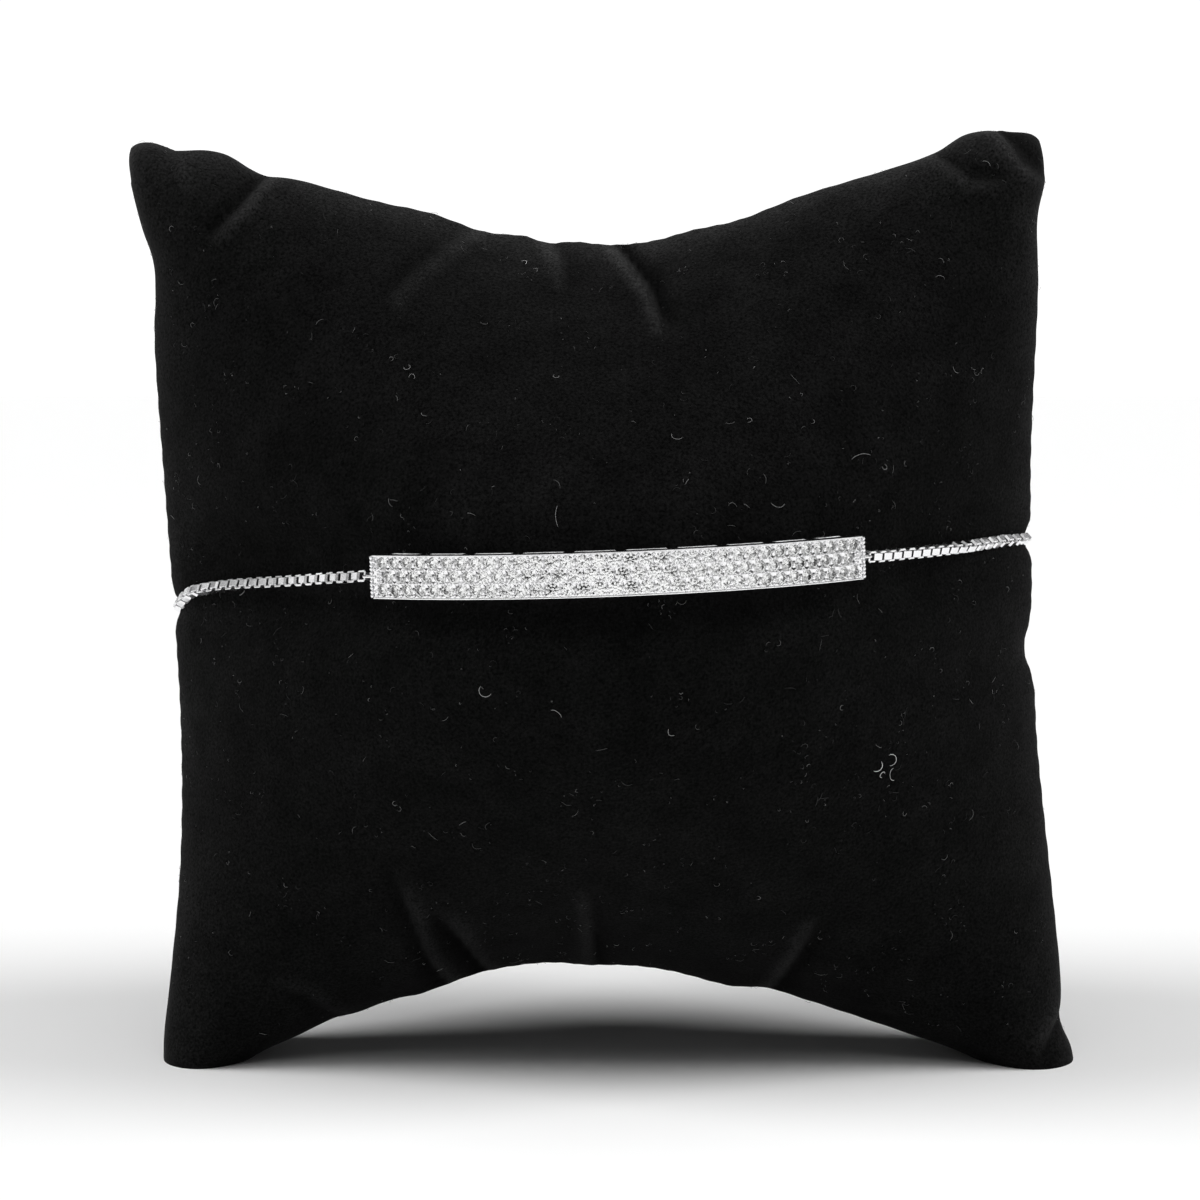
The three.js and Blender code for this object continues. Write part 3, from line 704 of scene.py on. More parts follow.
# The few long ones on the front: x and z in millimetres, length, turn, curl and tone.
LONG_LINT = (
    (-9.2, 33.7, 1.6, 0.3, 3.4, 0.55), (20.9, 27.0, 1.3, 1.2, -2.6, 0.95),
    (21.6, 26.6, 1.7, 2.5, 3.8, 0.9), (21.2, 26.0, 1.1, 4.4, 4.6, 0.8),
    (22.0, 25.4, 1.5, 5.5, -3.0, 0.7), (-15.3, 56.9, 1.2, 0.6, 4.8, 0.24),
    (-14.9, 56.1, 0.9, 3.6, -3.9, 0.27), (19.8, 50.3, 1.8, 5.4, 0.9, 0.28),
    (20.8, 49.4, 1.0, 1.1, 4.4, 0.25), (-3.6, 46.8, 1.7, 0.5, 0.7, 0.25),
    (12.1, 46.9, 1.3, 1.4, 2.1, 0.25), (-3.9, 56.3, 1.0, 2.9, 4.6, 0.22),
    (5.6, 51.7, 1.3, 0.1, -3.1, 0.25), (10.5, 52.8, 0.9, 1.9, 4.9, 0.22),
    (-6.4, 65.0, 0.8, 0.2, 3.0, 0.7), (-3.3, 31.5, 1.1, 4.0, 1.9, 0.4),
    (4.5, 30.6, 0.9, 0.4, 2.4, 0.35), (-29.0, 39.0, 0.9, 2.3, 1.8, 0.35),
)
LONG_LIFT, LONG_RADIUS = 0.12, 0.017
LONG_OFF, LONG_STEPS = 0.05, 9
for x, z, length, turn, curl, tone in LONG_LINT:
    in_front = Vector(mm(x, BAR_FRONT_Y - 8.0, z))
    _, root, normal, _ = pillow.ray_cast(in_front, Vector((0.0, 1.0, 0.0)))
    lay_fibre(root + normal * LONG_OFF * MM, normal, turn, length * MM, curl, LONG_LIFT * MM,
              LONG_RADIUS * MM, tone, LONG_STEPS)

lint_mesh = bpy.data.meshes.new("velvet_lint")
lint_mesh.from_pydata([tuple(row) for row in lint_rows], [], lint_faces)
lint_tone = lint_mesh.color_attributes.new("lint_tone", "FLOAT_COLOR", "POINT")
lint_tone.data.foreach_set("color", lint_tones)
lint = bpy.data.objects.new("velvet_lint", lint_mesh)
scene.collection.objects.link(lint)
face_outwards(lint)
bpy.ops.object.shade_smooth()
cotton, cotton_shader = new_material("cotton_lint", (0.5, 0.5, 0.5), 0.8)
cotton_tone = add_node(cotton, "ShaderNodeVertexColor", layer_name="lint_tone")
wire(cotton, (cotton_tone, "Color", cotton_shader, "Base Color"))
give_material(lint, cotton)
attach(lint, "root")


# ---------------------------------------------------------------
# The bar. A curved channel of rhodium-plated silver, cast in one piece: a front plate drilled
# with three staggered rows of seats, thin polished rims, slotted side walls, and a small wire
# loop on each end. The setter raises a shared bead of metal in every gap between the stones.
HALF_LENGTH = 20.0  # along the outer curve
HALF_WIDTH = BAR_WIDTH / 2
STONE_PITCH = 1.14
ROW_PITCH = 0.99
OUTER_ROW_STONES = 34
PLATE_FRONT = 0.12  # behind the rims
PLATE_BACK = 0.70
RIM_WIDTH = 0.11
SIDE_WALL = 0.35
PIT_DEPTH = 0.16
BAND_TIP = 0.0367  # rise of the band to the right, for each millimetre
BAND_HEIGHT = 42.13
BAR_TURN = 2.3  # degrees, right end further back
FACING_FRONT = (pi / 2, 0.0, 0.0)
CLOSE = 0.01  # picks what lies in a plane


def apply_place():
    bpy.ops.object.transform_apply(location=True, rotation=True, scale=True)


def join_pieces(name, pieces):
    """Joins pieces to one object with its place in its mesh."""
    select_only(*pieces)
    bpy.ops.object.join()
    apply_place()
    piece = bpy.context.object
    piece.name = piece.data.name = name
    return piece


def apply_array(piece, count, pitch):
    """Repeats the piece along x, middle on the middle, its copies merged where they meet."""
    apply_modifier(
        piece, "ARRAY", count=count, use_relative_offset=False, use_constant_offset=True,
        constant_offset_displace=mm(pitch, 0, 0), use_merge_vertices=True,
        merge_threshold=0.002 * MM,
    )
    piece.location.x = -(count - 1) / 2 * pitch * MM
    apply_place()


def copy_of(piece):
    twin = piece.copy()
    twin.data = piece.data.copy()
    scene.collection.objects.link(twin)
    return twin


def bevel_edges(piece, width, segments=2, angle=35.0):
    apply_modifier(piece, "BEVEL", width=width * MM, segments=segments, limit_method="ANGLE",
                   angle_limit=radians(angle))


def add_box(sizes, place=(0, 0, 0)):
    bpy.ops.mesh.primitive_cube_add(size=MM, location=mm(*place), scale=sizes)
    apply_place()
    return bpy.context.object


def add_rod(radius, length, sides, place=(0, 0, 0), **more):
    bpy.ops.mesh.primitive_cylinder_add(
        vertices=sides, radius=radius * MM, depth=length * MM, location=mm(*place), **more
    )
    return bpy.context.object


def add_ring(radius, thick, sides, thick_sides, place, turn=(0.0, 0.0, 0.0)):
    bpy.ops.mesh.primitive_torus_add(
        major_radius=radius * MM, minor_radius=thick * MM, major_segments=sides,
        minor_segments=thick_sides, location=mm(*place), rotation=turn,
    )
    return bpy.context.object


def cell_outline(depth, wide=4, at_x=0.0, pit=0.0):
    """The plate's share of one seat, as a grid, its quarter points drawn back into pits."""
    bpy.ops.mesh.primitive_grid_add(x_subdivisions=wide, y_subdivisions=4, size=MM,
                                    location=mm(at_x, depth, 0), rotation=FACING_FRONT)
    cell = bpy.context.object
    cell.scale = (STONE_PITCH * wide / 4, ROW_PITCH, 1.0)
    apply_place()
    set_mode("EDIT")
    pick("VERT", lambda co, n: abs(abs(co.z) - ROW_PITCH / 4) < CLOSE
         and abs(abs(co.x - at_x) - STONE_PITCH * wide / 8) < CLOSE)
    bpy.ops.transform.translate(value=mm(0, pit, 0))
    bpy.ops.transform.resize(value=(1.0, 1.0, 4 / 3), center_override=(0.0, 0.0, 0.0))
    if wide == 4:  # a whole seat is open in the middle
        pick("VERT", lambda co, n: hypot(co.x / STONE_PITCH, co.z / ROW_PITCH) < 0.4)
        bpy.ops.mesh.delete(type="VERT")
    return cell


# One seat: a cell of the plate with a chamfered hole that narrows behind the stone, and a
# graver's pit where it meets the two seats beside it.
SEAT_MOUTH = 0.492
SEAT_STEPS = ((0.45, 0.10), (0.30, 0.24), (0.16, 0.14), (0.16, 0.10))  # radius, further back
seat = cell_outline(PLATE_FRONT, pit=PIT_DEPTH)
bpy.ops.mesh.primitive_circle_add(vertices=16, radius=SEAT_MOUTH * MM,
                                  location=mm(0, PLATE_FRONT, 0), rotation=FACING_FRONT)
bpy.ops.mesh.select_all(action="SELECT")
bpy.ops.mesh.bridge_edge_loops()
pick("VERT", lambda co, n: hypot(co.x, co.z) < SEAT_MOUTH + 0.003)
seat_radius = SEAT_MOUTH
for radius, further in SEAT_STEPS:
    bpy.ops.mesh.extrude_region_move(TRANSFORM_OT_translate={"value": mm(0, further, 0)})
    share = radius / seat_radius
    bpy.ops.transform.resize(value=(share, 1.0, share), center_override=(0.0, 0.0, 0.0))
    seat_radius = radius
set_mode("OBJECT")
seat_back = cell_outline(PLATE_BACK)
set_mode("OBJECT")
select_only(seat, seat_back)
bpy.ops.object.join()
set_mode("EDIT")
pick("VERT", lambda co, n: co.y > PLATE_BACK - CLOSE)
bpy.ops.mesh.bridge_edge_loops()
set_mode("OBJECT")

seat_rows = []
for row in (-1, 0, 1):
    seat_row = copy_of(seat)
    apply_array(seat_row, OUTER_ROW_STONES - (row == 0), STONE_PITCH)
    seat_row.location.z = row * ROW_PITCH * MM
    seat_rows.append(seat_row)
bpy.data.objects.remove(seat)
for end in (-1, 1):  # the middle row is half a seat shorter at each end
    half_seat = end * (OUTER_ROW_STONES - 0.5) / 2 * STONE_PITCH
    for depth, pit in ((PLATE_FRONT, PIT_DEPTH), (PLATE_BACK, 0.0)):
        seat_rows.append(cell_outline(depth, 2, half_seat, pit))
        set_mode("OBJECT")
plate = join_pieces("seat_plate", seat_rows)
plate_end = OUTER_ROW_STONES / 2 * STONE_PITCH
plate_edge = 1.5 * ROW_PITCH
set_mode("EDIT")
bpy.ops.mesh.select_all(action="SELECT")
bpy.ops.mesh.remove_doubles(threshold=0.004 * MM)
pick("EDGE", lambda co, run: abs(abs(co.x) - plate_end) < CLOSE
     or abs(abs(co.z) - plate_edge) < CLOSE)
bpy.ops.mesh.bridge_edge_loops()
set_mode("OBJECT")
face_outwards(plate)

# A side wall: one slotted length, repeated, with the rim drawn forward along its outer edge.
SLOTS = 10
SLOT_PITCH = 4.0
SLOT_LENGTH = 3.15
SLOT_FROM, SLOT_TO = 1.20, 2.10
RIM_FROM = HALF_WIDTH - RIM_WIDTH
wall = add_box((SLOT_PITCH, BAR_DEPTH - PLATE_BACK, SIDE_WALL),
               (0, (PLATE_BACK + BAR_DEPTH) / 2, HALF_WIDTH - SIDE_WALL / 2))
set_mode("EDIT")
for place, facing in (
    ((-SLOT_LENGTH / 2, 0, 0), (1, 0, 0)), ((SLOT_LENGTH / 2, 0, 0), (1, 0, 0)),
    ((0, SLOT_FROM, 0), (0, 1, 0)), ((0, SLOT_TO, 0), (0, 1, 0)), ((0, 0, RIM_FROM), (0, 0, 1)),
):
    slice_all(place, facing)
pick("FACE", lambda co, n: abs(n.z) > 0.9 and abs(co.x) < SLOT_LENGTH / 2
     and SLOT_FROM < co.y < SLOT_TO)
bpy.ops.mesh.bridge_edge_loops()
pick("FACE", lambda co, n: n.y < -0.9 and co.y < PLATE_BACK + CLOSE and co.z > RIM_FROM)
bpy.ops.mesh.extrude_region_move(TRANSFORM_OT_translate={"value": mm(0, -PLATE_BACK, 0)})
pick("FACE", lambda co, n: abs(n.x) > 0.9 and abs(abs(co.x) - SLOT_PITCH / 2) < CLOSE)
bpy.ops.mesh.delete(type="FACE")
set_mode("OBJECT")
apply_array(wall, SLOTS, SLOT_PITCH)
set_mode("EDIT")
for end in (-1, 1):
    slice_all((end * (HALF_LENGTH - 0.3), 0, 0), (end, 0, 0), use_fill=True, clear_outer=True)
set_mode("OBJECT")
face_outwards(wall, merge=0.002)
bevel_edges(wall, 0.035)
lower_wall = copy_of(wall)
lower_wall.scale.z = -1.0
select_only(lower_wall)
apply_place()
face_outwards(lower_wall)

# The end walls, with their outer corners rounded.
END_WALL = 0.63
END_FRONT = 0.16  # its front edge, behind the beads
END_ROUND = 0.32
bar_parts = [plate, wall, lower_wall]
for end in (-1, 1):
    block = add_box((END_WALL, BAR_DEPTH - END_FRONT, BAR_WIDTH),
                    (end * (HALF_LENGTH - END_WALL / 2), (END_FRONT + BAR_DEPTH) / 2, 0))
    set_mode("EDIT")
    pick("EDGE", lambda co, run: abs(run.y) > 1.0 and end * co.x > HALF_LENGTH - CLOSE)
    bpy.ops.mesh.bevel(offset=END_ROUND * MM, segments=5, affect="EDGES")
    set_mode("OBJECT")
    bevel_edges(block, 0.04, angle=50.0)
    bar_parts.append(block)

# The beads: x and z, and how large each is beside the ones between two stones of a row.
BEAD_RADIUS = 0.115
RIM_BEAD = 0.37  # from an outer row's middle line towards the rim
END_BEADS, END_BEAD_SPREAD = 11, 2.8
BEAD_STRAY = 0.02  # most that the graver sets one aside
BEAD_WIDTHS, BEAD_HEIGHTS = (0.9, 1.12), (0.9, 1.15)  # least and most, as shares
bead_places = []
for row in (-1, 0, 1):  # between two stones of a row, and between them and the rim
    stones = OUTER_ROW_STONES - (row == 0)
    for gap in range(stones + 1):
        x = (gap - stones / 2) * STONE_PITCH
        if abs(x) > plate_end - 0.1:
            x = copysign(plate_end - 0.02, x)
        bead_places.append((x, row * ROW_PITCH, 1.0))
        if row:
            bead_places.append((x, row * (ROW_PITCH + RIM_BEAD), 1.05))
for gap in range(2 * OUTER_ROW_STONES - 2):  # between two rows
    x = (gap - OUTER_ROW_STONES + 1.5) * STONE_PITCH / 2
    for up in (-1, 1):
        bead_places.append((x, up * ROW_PITCH / 2, 1.0))
for end in (-1, 1):
    for k in range(4):  # in the half seat at each end of the middle row
        bead_places.append((end * (plate_end - 0.2), (k - 1.5) * 0.25, 1.15))
        bead_places.append((end * (plate_end - 0.44), (k - 1.5) * 0.2, 1.0))
    for k in range(END_BEADS):  # a column on each end wall
        z = (k - (END_BEADS - 1) / 2) * END_BEAD_SPREAD / (END_BEADS - 1)
        bead_places.append((end * (HALF_LENGTH - 0.13), z, 1.32))
        if k % 2:
            bead_places.append((end * (HALF_LENGTH - 0.40), z, 1.2))

bpy.ops.mesh.primitive_uv_sphere_add(segments=10, ring_count=6, radius=BEAD_RADIUS * MM,
                                     rotation=FACING_FRONT)
bead = bpy.context.object
apply_place()
set_mode("EDIT")
slice_all((0, 0.02, 0), (0, 1, 0), use_fill=True, clear_outer=True)
set_mode("OBJECT")
setting_draw = random.Random(7)
for x, z, size in bead_places:
    raised = copy_of(bead)
    raised.location = mm(x + setting_draw.uniform(-BEAD_STRAY, BEAD_STRAY), PLATE_FRONT - 0.01,
                         z + setting_draw.uniform(-BEAD_STRAY, BEAD_STRAY))
    raised.scale = (size * setting_draw.uniform(*BEAD_WIDTHS),
                    setting_draw.uniform(*BEAD_HEIGHTS),
                    size * setting_draw.uniform(*BEAD_WIDTHS))
    bar_parts.append(raised)
bpy.data.objects.remove(bead)

LOOP_RADIUS, LOOP_WIRE = 0.45, 0.12
LOOP_OUT, LOOP_DEPTH = 0.42, 0.5  # past the end wall, and behind the front
for end in (-1, 1):
    loop_place = (end * (HALF_LENGTH + LOOP_OUT), LOOP_DEPTH, 0)
    bar_parts.append(add_ring(LOOP_RADIUS, LOOP_WIRE, 28, 10, loop_place))

# From the bar's own axis, on which its curve is centred, to its place on the pillow.
BAR_STAND = (Matrix.Translation(mm(0, BAR_FRONT_Y + BAR_RADIUS, BAND_HEIGHT))
             @ Matrix.Rotation(-atan(BAND_TIP), 4, "Y")
             @ Matrix.Rotation(radians(BAR_TURN), 4, "Z"))


def bend_round_wrist(piece):
    """Bends a piece made flat along x to the bar's curve and stands it in its place."""
    xs = [vertex.co.x for vertex in piece.data.vertices]
    apply_modifier(piece, "SIMPLE_DEFORM", deform_method="BEND", deform_axis="Z",
                   angle=(max(xs) - min(xs)) / (BAR_RADIUS * MM))
    piece.data.transform(BAR_STAND @ Matrix.Translation(mm(0, -BAR_RADIUS, 0)))
    piece.data.update()


bar = join_pieces("bar_frame_pave_channel", bar_parts)
bend_round_wrist(bar)
bpy.ops.object.shade_smooth_by_angle(angle=radians(32.0))

# Hairline polishing marks and faint handling wear on bright metal.
polish_marks = bpy.data.node_groups.new("polish_marks", "ShaderNodeTree")
for name, in_out, kind in (
    ("Scale", "INPUT", "Float"), ("Smooth", "INPUT", "Float"), ("Worn", "INPUT", "Float"),
    ("Depth", "INPUT", "Float"), ("Roughness", "OUTPUT", "Float"),
    ("Normal", "OUTPUT", "Vector"),
):
    polish_marks.interface.new_socket(name, in_out=in_out, socket_type=f"NodeSocket{kind}")
given = add_node(polish_marks, "NodeGroupInput")
made = add_node(polish_marks, "NodeGroupOutput")
where = add_node(polish_marks, "ShaderNodeTexCoord")
streak_map = add_node(polish_marks, "ShaderNodeMapping", Scale=(0.12, 1.0, 1.0))
streaks = add_node(polish_marks, "ShaderNodeTexNoise", Detail=5.0)
patches = add_node(polish_marks, "ShaderNodeTexNoise", Scale=380.0, Detail=3.0)
spread = add_range(polish_marks, 0.35, 0.75)
scratch = add_node(polish_marks, "ShaderNodeBump", Distance=0.00002)
wire(polish_marks,
     (where, "Object", streak_map, "Vector"),
     (streak_map, "Vector", streaks, "Vector"),
     (given, "Scale", streaks, "Scale"),
     (where, "Object", patches, "Vector"),
     (patches, "Fac", spread, "Value"),
     (given, "Smooth", spread, "To Min"),
     (given, "Worn", spread, "To Max"),
     (spread, "Result", made, "Roughness"),
     (streaks, "Fac", scratch, "Height"),
     (given, "Depth", scratch, "Strength"),
     (scratch, "Normal", made, "Normal"))


def polished_silver(name, color, **values):
    """Bright rhodium-plated silver with its own share of polishing marks."""
    material, shader = new_material(name, color, 0.1, Metallic=1.0)
    marks = add_node(material, "ShaderNodeGroup", node_tree=polish_marks, **values)
    wire(material, (marks, "Roughness", shader, "Roughness"), (marks, "Normal", shader, "Normal"))
    return material


give_material(bar, polished_silver("bar_silver", (0.93, 0.93, 0.94), Scale=2400.0, Smooth=0.06,
                                   Worn=0.2, Depth=0.12))
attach(bar, "root")
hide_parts("bar_frame")


# ---------------------------------------------------------------
# The stones. A hundred and one round brilliants of white cubic zirconia, a millimetre across,
# cut with a table, stars, kites and girdle facets over a faceted cone. Each sits in its drilled
# seat with its table just proud of the rims.
STONE_RADIUS = 0.5
GIRDLE_HALF = 0.012
TABLE_RADIUS = 0.28
KITE_SLOPE, BREAK_SLOPE, STAR_SLOPE = 34.0, 40.0, 22.0
MAIN_SLOPE, LOWER_SLOPE = 41.0, 42.6
TABLE_HEIGHT = GIRDLE_HALF + (STONE_RADIUS - TABLE_RADIUS) * tan(radians(KITE_SLOPE))
STONE_FRONT = 0.03  # the tables stand this far proud of the rims
STONE_LEAN = 5.0  # most that one is set askew, in degrees
EIGHTH, SIXTEENTH = 22.5, 11.25  # half the turn between facets, of eight and of sixteen


def cut_facets(count, first, slope, radius, height, up):
    """Grinds a ring of flat facets, each through a point of the given radius and height."""
    lean = radians(slope)
    for k in range(count):
        around = radians(first + k * 360.0 / count)
        outward = Vector((cos(around), sin(around), 0.0))
        slice_all(outward * radius + Vector((0, 0, height)),
                  outward * sin(lean) + Vector((0, 0, up * cos(lean))),
                  near=0.0001, use_fill=True, clear_outer=True)


stone = add_rod(STONE_RADIUS, 1.6, 16, rotation=(0.0, 0.0, radians(SIXTEENTH)))
apply_place()
set_mode("EDIT")
cut_facets(8, 0.0, KITE_SLOPE, STONE_RADIUS, GIRDLE_HALF, 1)
cut_facets(16, SIXTEENTH, BREAK_SLOPE, STONE_RADIUS * 0.993, GIRDLE_HALF, 1)
cut_facets(8, EIGHTH, STAR_SLOPE, TABLE_RADIUS * cos(radians(EIGHTH)), TABLE_HEIGHT, 1)
cut_facets(1, 0.0, 0.0, 0.0, TABLE_HEIGHT, 1)
cut_facets(8, 0.0, MAIN_SLOPE, STONE_RADIUS, -GIRDLE_HALF, -1)
cut_facets(16, SIXTEENTH, LOWER_SLOPE, STONE_RADIUS * 0.995, -GIRDLE_HALF, -1)
set_mode("OBJECT")
face_outwards(stone, merge=0.0005)

set_stones = []
for row in (-1, 0, 1):
    stones = OUTER_ROW_STONES - (row == 0)
    for k in range(stones):
        set_stone = copy_of(stone)
        lean_x, lean_z = (radians(setting_draw.uniform(-STONE_LEAN, STONE_LEAN))
                          for _ in range(2))
        spin = radians(setting_draw.uniform(0.0, 2 * EIGHTH))
        place = ((k - (stones - 1) / 2) * STONE_PITCH, TABLE_HEIGHT - STONE_FRONT, row * ROW_PITCH)
        set_stone.data.transform(
            Matrix.Translation(mm(*place)) @ Matrix.Rotation(lean_x, 4, "X")
            @ Matrix.Rotation(lean_z, 4, "Z") @ Matrix.Rotation(pi / 2, 4, "X")
            @ Matrix.Rotation(spin, 4, "Z")
        )
        set_stones.append(set_stone)
bpy.data.objects.remove(stone)
pave = join_pieces("pave_stones_brilliants", set_stones)
bend_round_wrist(pave)

zirconia, zirconia_shader = new_material("white_zirconia", (1.0, 1.0, 1.0), 0.0, IOR=2.16,
                                         **{"Transmission Weight": 1.0})
stone_place = add_node(zirconia, "ShaderNodeTexCoord")
stone_film = add_node(zirconia, "ShaderNodeTexNoise", Scale=1400.0, Detail=3.0)
film_rough = add_range(zirconia, 0.5, 0.8, 0.0, 0.09)
stone_white = add_node(zirconia, "ShaderNodeMix", data_type="RGBA")
stone_white.inputs[6].default_value = (0.97, 0.985, 1.0, 1.0)
stone_white.inputs[7].default_value = (1.0, 0.995, 0.975, 1.0)
wire(zirconia,
     (stone_place, "Object", stone_film, "Vector"),
     (stone_film, "Fac", film_rough, "Value"),
     (film_rough, "Result", zirconia_shader, "Roughness"),
     (stone_film, "Fac", stone_white, "Factor"),
     (stone_white, 2, zirconia_shader, "Base Color"))
give_material(pave, zirconia)
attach(pave, "root")
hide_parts("pave_stones")


# ---------------------------------------------------------------
# The two chains. Venetian box chain of rhodium-plated silver: each link is a short square band,
# folded and soldered, and turned a quarter round from the one before. Each runs from the bar's
# loop across the front, round the seam, and along the back to the clasp.
LINK_LENGTH, LINK_SIZE = 0.96, 0.88  # outside, along the chain and across it
LINK_WIDTH = 0.57  # of the band
BAND_THICK = 0.155
LINK_STEP = LINK_LENGTH - 2 * BAND_THICK
LINK_FOLD, LINK_EDGE = 0.15, 0.035  # how far its folds and its edges are rounded
LINK_LIFT = LINK_SIZE / 2 + 0.04  # the chain's middle over the cover
SIDE_REACH = 1.6  # in from the side seam, where the chain starts to turn round it
SIDE_BITE = 0.2  # how far the taut chain sinks into the cover where it turns round the seam
ROLL_START = 8.0  # degrees each chain is rolled over by the bar, and then where it turns back
ROLL_SIDE = {-1: 28.0, 1: 45.0}
ROLL_FROM, ROLL_LENGTH = 23.0, 9.0  # sideways, where it begins to roll over
LINK_WOBBLE = 4.0  # most that one hangs askew, in degrees
LINK_SIGHT = 0.3  # ahead and behind, where its direction is read
CLASP_LENGTH = 6.2
CLASP_TAIL = 0.95  # radius
CLASP_RING, CLASP_RING_WIRE = 1.45, 0.27
CLASP_TILT = 30.0  # degrees
CLASP_STAND = 1.35  # middle of its plate above the cover

link = add_box((LINK_LENGTH, LINK_WIDTH, LINK_SIZE))
set_mode("EDIT")
pick("FACE", lambda co, n: abs(n.y) > 0.9)
bpy.ops.mesh.inset(thickness=BAND_THICK * MM)
bpy.ops.mesh.bridge_edge_loops()
pick("EDGE", lambda co, run: abs(run.y) > 0.1 and abs(abs(co.x) - LINK_LENGTH / 2) < CLOSE)
bpy.ops.mesh.bevel(offset=LINK_FOLD * MM, segments=1, affect="EDGES")
pick("EDGE", lambda co, run: abs(run.y) < CLOSE and abs(co.y) > 0.2
     and (abs(co.x) > LINK_LENGTH / 2 - 0.08 or abs(co.z) > LINK_SIZE / 2 - 0.08))
bpy.ops.mesh.bevel(offset=LINK_EDGE * MM, segments=1, affect="EDGES")
set_mode("OBJECT")
face_outwards(link)


def depth_at(x, z, side):
    return float(cover_depth(np.array([x]), np.array([z]), side)[0])


# Where the clasp lies: its x along the back, its z straight out from the cover.
back_height, back_slope = band_height(0.0, 1), band_height(0.0, 1) - band_height(1.0, 1)
CLASP_PLACE = (
    Matrix.Translation(mm(0, depth_at(0.0, back_height, 1) + CLASP_STAND, back_height))
    @ Matrix.Rotation(atan2(back_slope, 1.0), 4, "Y") @ Matrix.Rotation(pi / 2, 4, "X")
)
CLASP_ENDS = {  # where the left chain meets the tail's ring, and the right one the large ring
    -1: (-(CLASP_LENGTH / 2 + CLASP_TAIL + 0.55), 0.0, 0.0),
    1: (CLASP_LENGTH / 2 + (CLASP_RING - CLASP_RING_WIRE) * cos(radians(CLASP_TILT)), 0.0,
        (CLASP_RING - CLASP_RING_WIRE) * sin(radians(CLASP_TILT))),
}
ROUTE_STEPS = 12  # across the front, and again across the back
SLOPE_STEP = 0.2  # to each side, where the cover's slope is read


def on_cover(x, side):
    """A point of the chain's middle over the cover, on the bracelet's line."""
    z = float(band_height(x, side))
    before, depth, after = (depth_at(x + d, z, side) for d in (-SLOPE_STEP, 0.0, SLOPE_STEP))
    out = Vector((-(after - before) / (2 * SLOPE_STEP), side, 0.0)).normalized()
    return (Vector((x, side * depth, z)) + out * LINK_LIFT) * MM


def chain_route(end):
    """Points from the bar's loop to the clasp, along the cover, in metres."""
    angle = end * (HALF_LENGTH + LOOP_OUT + LOOP_RADIUS - LOOP_WIRE) / BAR_RADIUS
    radius = BAR_RADIUS - LOOP_DEPTH
    start = BAR_STAND @ (Vector((radius * sin(angle), -radius * cos(angle), 0.0)) * MM)
    finish = CLASP_PLACE @ (Vector(CLASP_ENDS[end]) * MM)
    start_x, finish_x = start.x / MM, finish.x / MM
    side_z = BAND_LINE[0 if end < 0 else -1][1]
    side_x = float(seam_at("left" if end < 0 else "right", side_z))
    near_side = side_x - end * SIDE_REACH

    # Pulled taut, the chain leaves the cover between the bar's end and where it first touches.
    shares = [k / ROUTE_STEPS for k in range(1, ROUTE_STEPS + 1)]
    front = [on_cover(start_x + (near_side - start_x) * share, -1) for share in shares]
    slopes = [(point.y - start.y) / abs(point.x - start.x) for point in front]
    touch = slopes.index(min(slopes))
    route = [start]
    for k in range(1, touch + 1):
        point = start.lerp(front[touch], k / (touch + 1))
        point.z = (point.z + float(band_height(point.x / MM, -1)) * MM) / 2
        route.append(point)
    route += front[touch:]
    route.append(Vector(mm(side_x + end * (LINK_LIFT - SIDE_BITE), 0, side_z)))
    route += [on_cover(finish_x + (near_side - finish_x) * share, 1) for share in shares[::-1]]
    return np.array([tuple(point) for point in route + [finish]])


def make_chain(end, name):
    """A chain of links along its route, each turned as the taut chain turns."""
    route = smooth_line(chain_route(end), 1600)
    run = path_length(route)
    half = (LINK_LENGTH / 2 - BAND_THICK) * MM
    usable = run[-1] - 2 * half
    links = int(round(usable / (LINK_STEP * MM))) + 1
    made = []
    for k in range(links):
        at = half + k * usable / (links - 1)
        spot, before, after = (
            Vector([float(np.interp(at + d, run, route[:, axis])) for axis in range(3)])
            for d in (0.0, -LINK_SIGHT * MM, LINK_SIGHT * MM)
        )
        along = (after - before).normalized()
        out = along.cross(Vector((0.0, 0.0, 1.0))).normalized() * end
        up = out.cross(along).normalized() * -end
        if up.z < 0:
            up = -up
        towards_side = float(smooth_step((abs(spot.x) / MM - ROLL_FROM) / ROLL_LENGTH))
        roll = -end * radians(ROLL_START + (ROLL_SIDE[end] - ROLL_START) * towards_side)
        out, up = out * cos(roll) + up * sin(roll), up * cos(roll) - out * sin(roll)
        band = (along, out, up) if k % 2 == 0 else (along, -up, out)
        askew = setting_draw.uniform(-LINK_WOBBLE, LINK_WOBBLE)
        wobble = Matrix.Rotation(radians(askew), 4, "X")
        one = copy_of(link)
        one.data.transform(Matrix.Translation(spot) @ Matrix(band).transposed().to_4x4() @ wobble)
        made.append(one)
    return join_pieces(name, made)


chain_silver = polished_silver("chain_silver", (0.90, 0.90, 0.91), Scale=3000.0, Smooth=0.10,
                               Worn=0.28, Depth=0.15)
for end, name in ((-1, "left"), (1, "right")):
    chain = make_chain(end, f"box_chain_{name}")
    face_outwards(chain)
    bpy.ops.object.shade_smooth_by_angle(angle=radians(30.0))
    give_material(chain, chain_silver)
    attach(chain, "root")
    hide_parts(f"chain_{name}")
bpy.data.objects.remove(link)


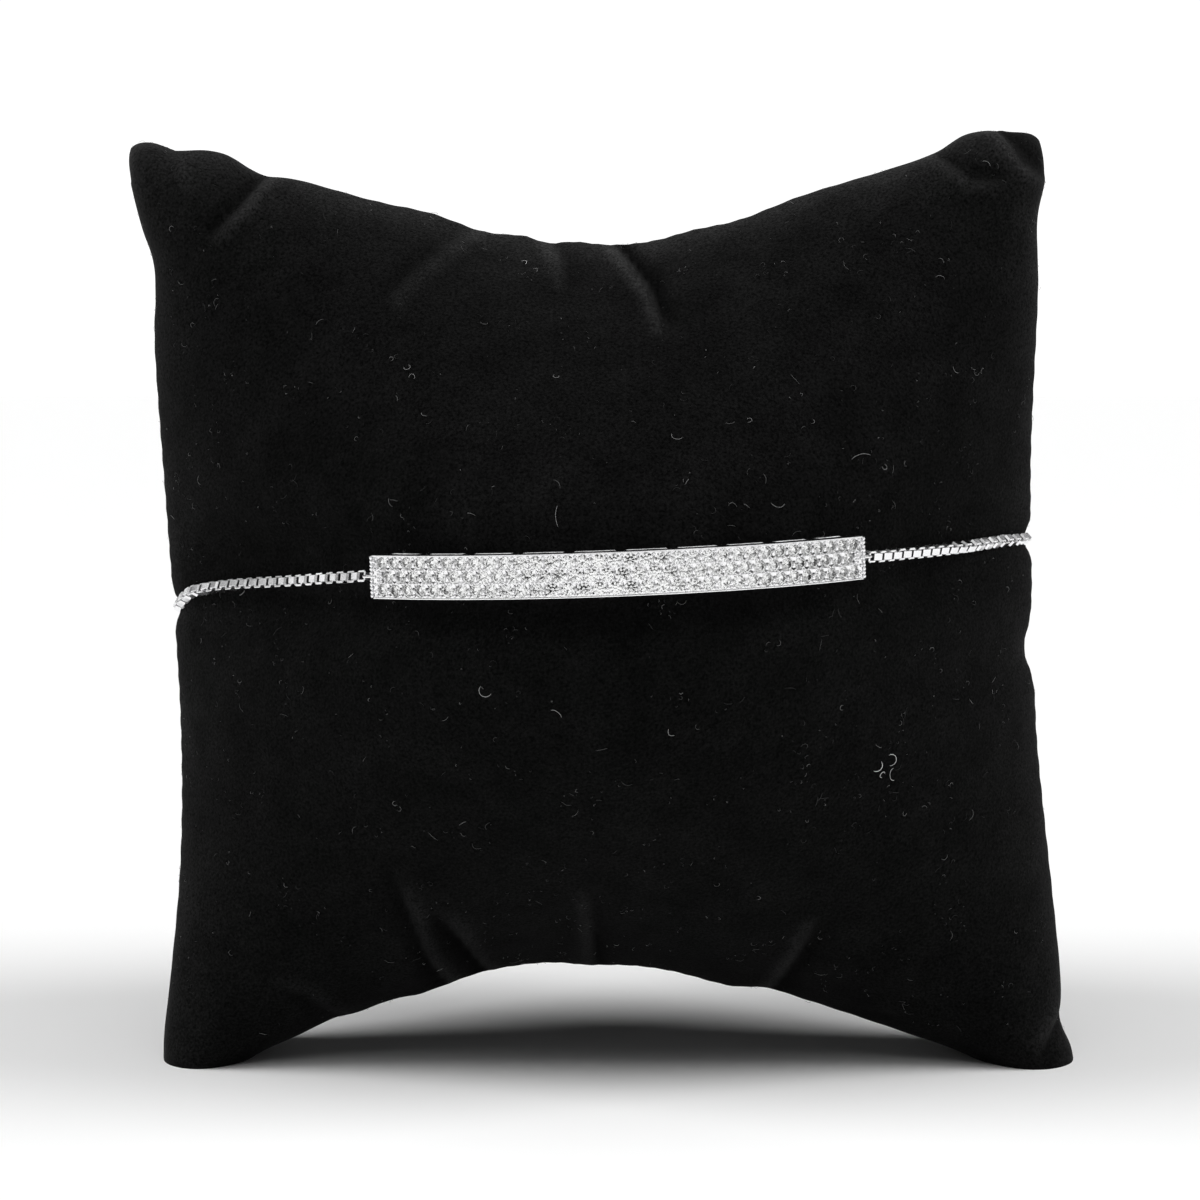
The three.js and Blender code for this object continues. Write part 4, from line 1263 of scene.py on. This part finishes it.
# ---------------------------------------------------------------
# The clasp, out of sight behind the pillow: a small lobster claw of cast silver, with its gate
# shut on a round jump ring that the right chain ends in. A second ring joins the left chain to
# the eye in its tail.
CLASP_BODY = 2.0  # radius
CLASP_THICK = 1.3
CLASP_WINDOW, CLASP_EYE = 1.05, 0.45  # radii
GATE_LINE, GATE_DEPTH = 0.12, 0.12  # the two lines that mark the gate
LEVER_RADIUS, LEVER_HEIGHT = 0.34, 0.5
TAIL_RING, TAIL_RING_WIRE = 0.72, 0.15
body_x = CLASP_LENGTH / 2 - CLASP_BODY + 0.6
tail_x = -CLASP_LENGTH / 2
clasp = add_rod(CLASP_BODY, CLASP_THICK, 40, (body_x, 0, 0))
apply_place()
set_mode("EDIT")
add_rod(CLASP_TAIL, CLASP_THICK, 40, (tail_x, 0, 0))
bpy.ops.mesh.select_all(action="SELECT")
bpy.ops.mesh.convex_hull()
bpy.ops.mesh.dissolve_limited(angle_limit=radians(2.0))
set_mode("OBJECT")
bevel_edges(clasp, 0.52, segments=5, angle=50.0)
cutters = [add_rod(CLASP_WINDOW, 4.0, 36, (body_x + 0.1, 0, 0), scale=(1.15, 1.0, 1.0)),
           add_rod(CLASP_EYE, 4.0, 28, (tail_x, 0, 0))]
for place, tall in (((body_x + 0.75, 1.55, 0), 1.2), ((body_x - 1.5, 0.9, 0), 1.6)):
    cutters.append(add_box((GATE_LINE, tall, 3.0), place))
    set_mode("EDIT")
    slice_all((0, 0, CLASP_THICK / 2 - GATE_DEPTH), (0, 0, 1), use_fill=True, clear_inner=True)
    set_mode("OBJECT")
for cutter in cutters:
    apply_modifier(clasp, "BOOLEAN", operation="DIFFERENCE", object=cutter, solver="EXACT")
    bpy.data.objects.remove(cutter)
bevel_edges(clasp, 0.05, segments=2, angle=40.0)
face_outwards(clasp, merge=0.001)

lever = add_rod(LEVER_RADIUS, LEVER_HEIGHT, 20, (body_x - 1.25, 1.72, 0.30))
apply_place()
bevel_edges(lever, 0.1, segments=3, angle=50.0)
large_ring = add_ring(CLASP_RING, CLASP_RING_WIRE, 48, 14, (CLASP_LENGTH / 2, 0, 0),
                      (0.0, -radians(CLASP_TILT), 0.0))
tail_ring = add_ring(TAIL_RING, TAIL_RING_WIRE, 36, 12, (tail_x - 0.62, 0, 0),
                     (radians(58.0), 0.0, 0.0))
claw = join_pieces("lobster_claw_clasp", [clasp, lever, large_ring, tail_ring])
claw.data.transform(CLASP_PLACE)
bpy.ops.object.shade_smooth_by_angle(angle=radians(40.0))
give_material(claw, polished_silver("clasp_silver", (0.92, 0.92, 0.93), Scale=1800.0,
                                    Smooth=0.26, Worn=0.42, Depth=0.3))
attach(claw, "root")
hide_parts("clasp")
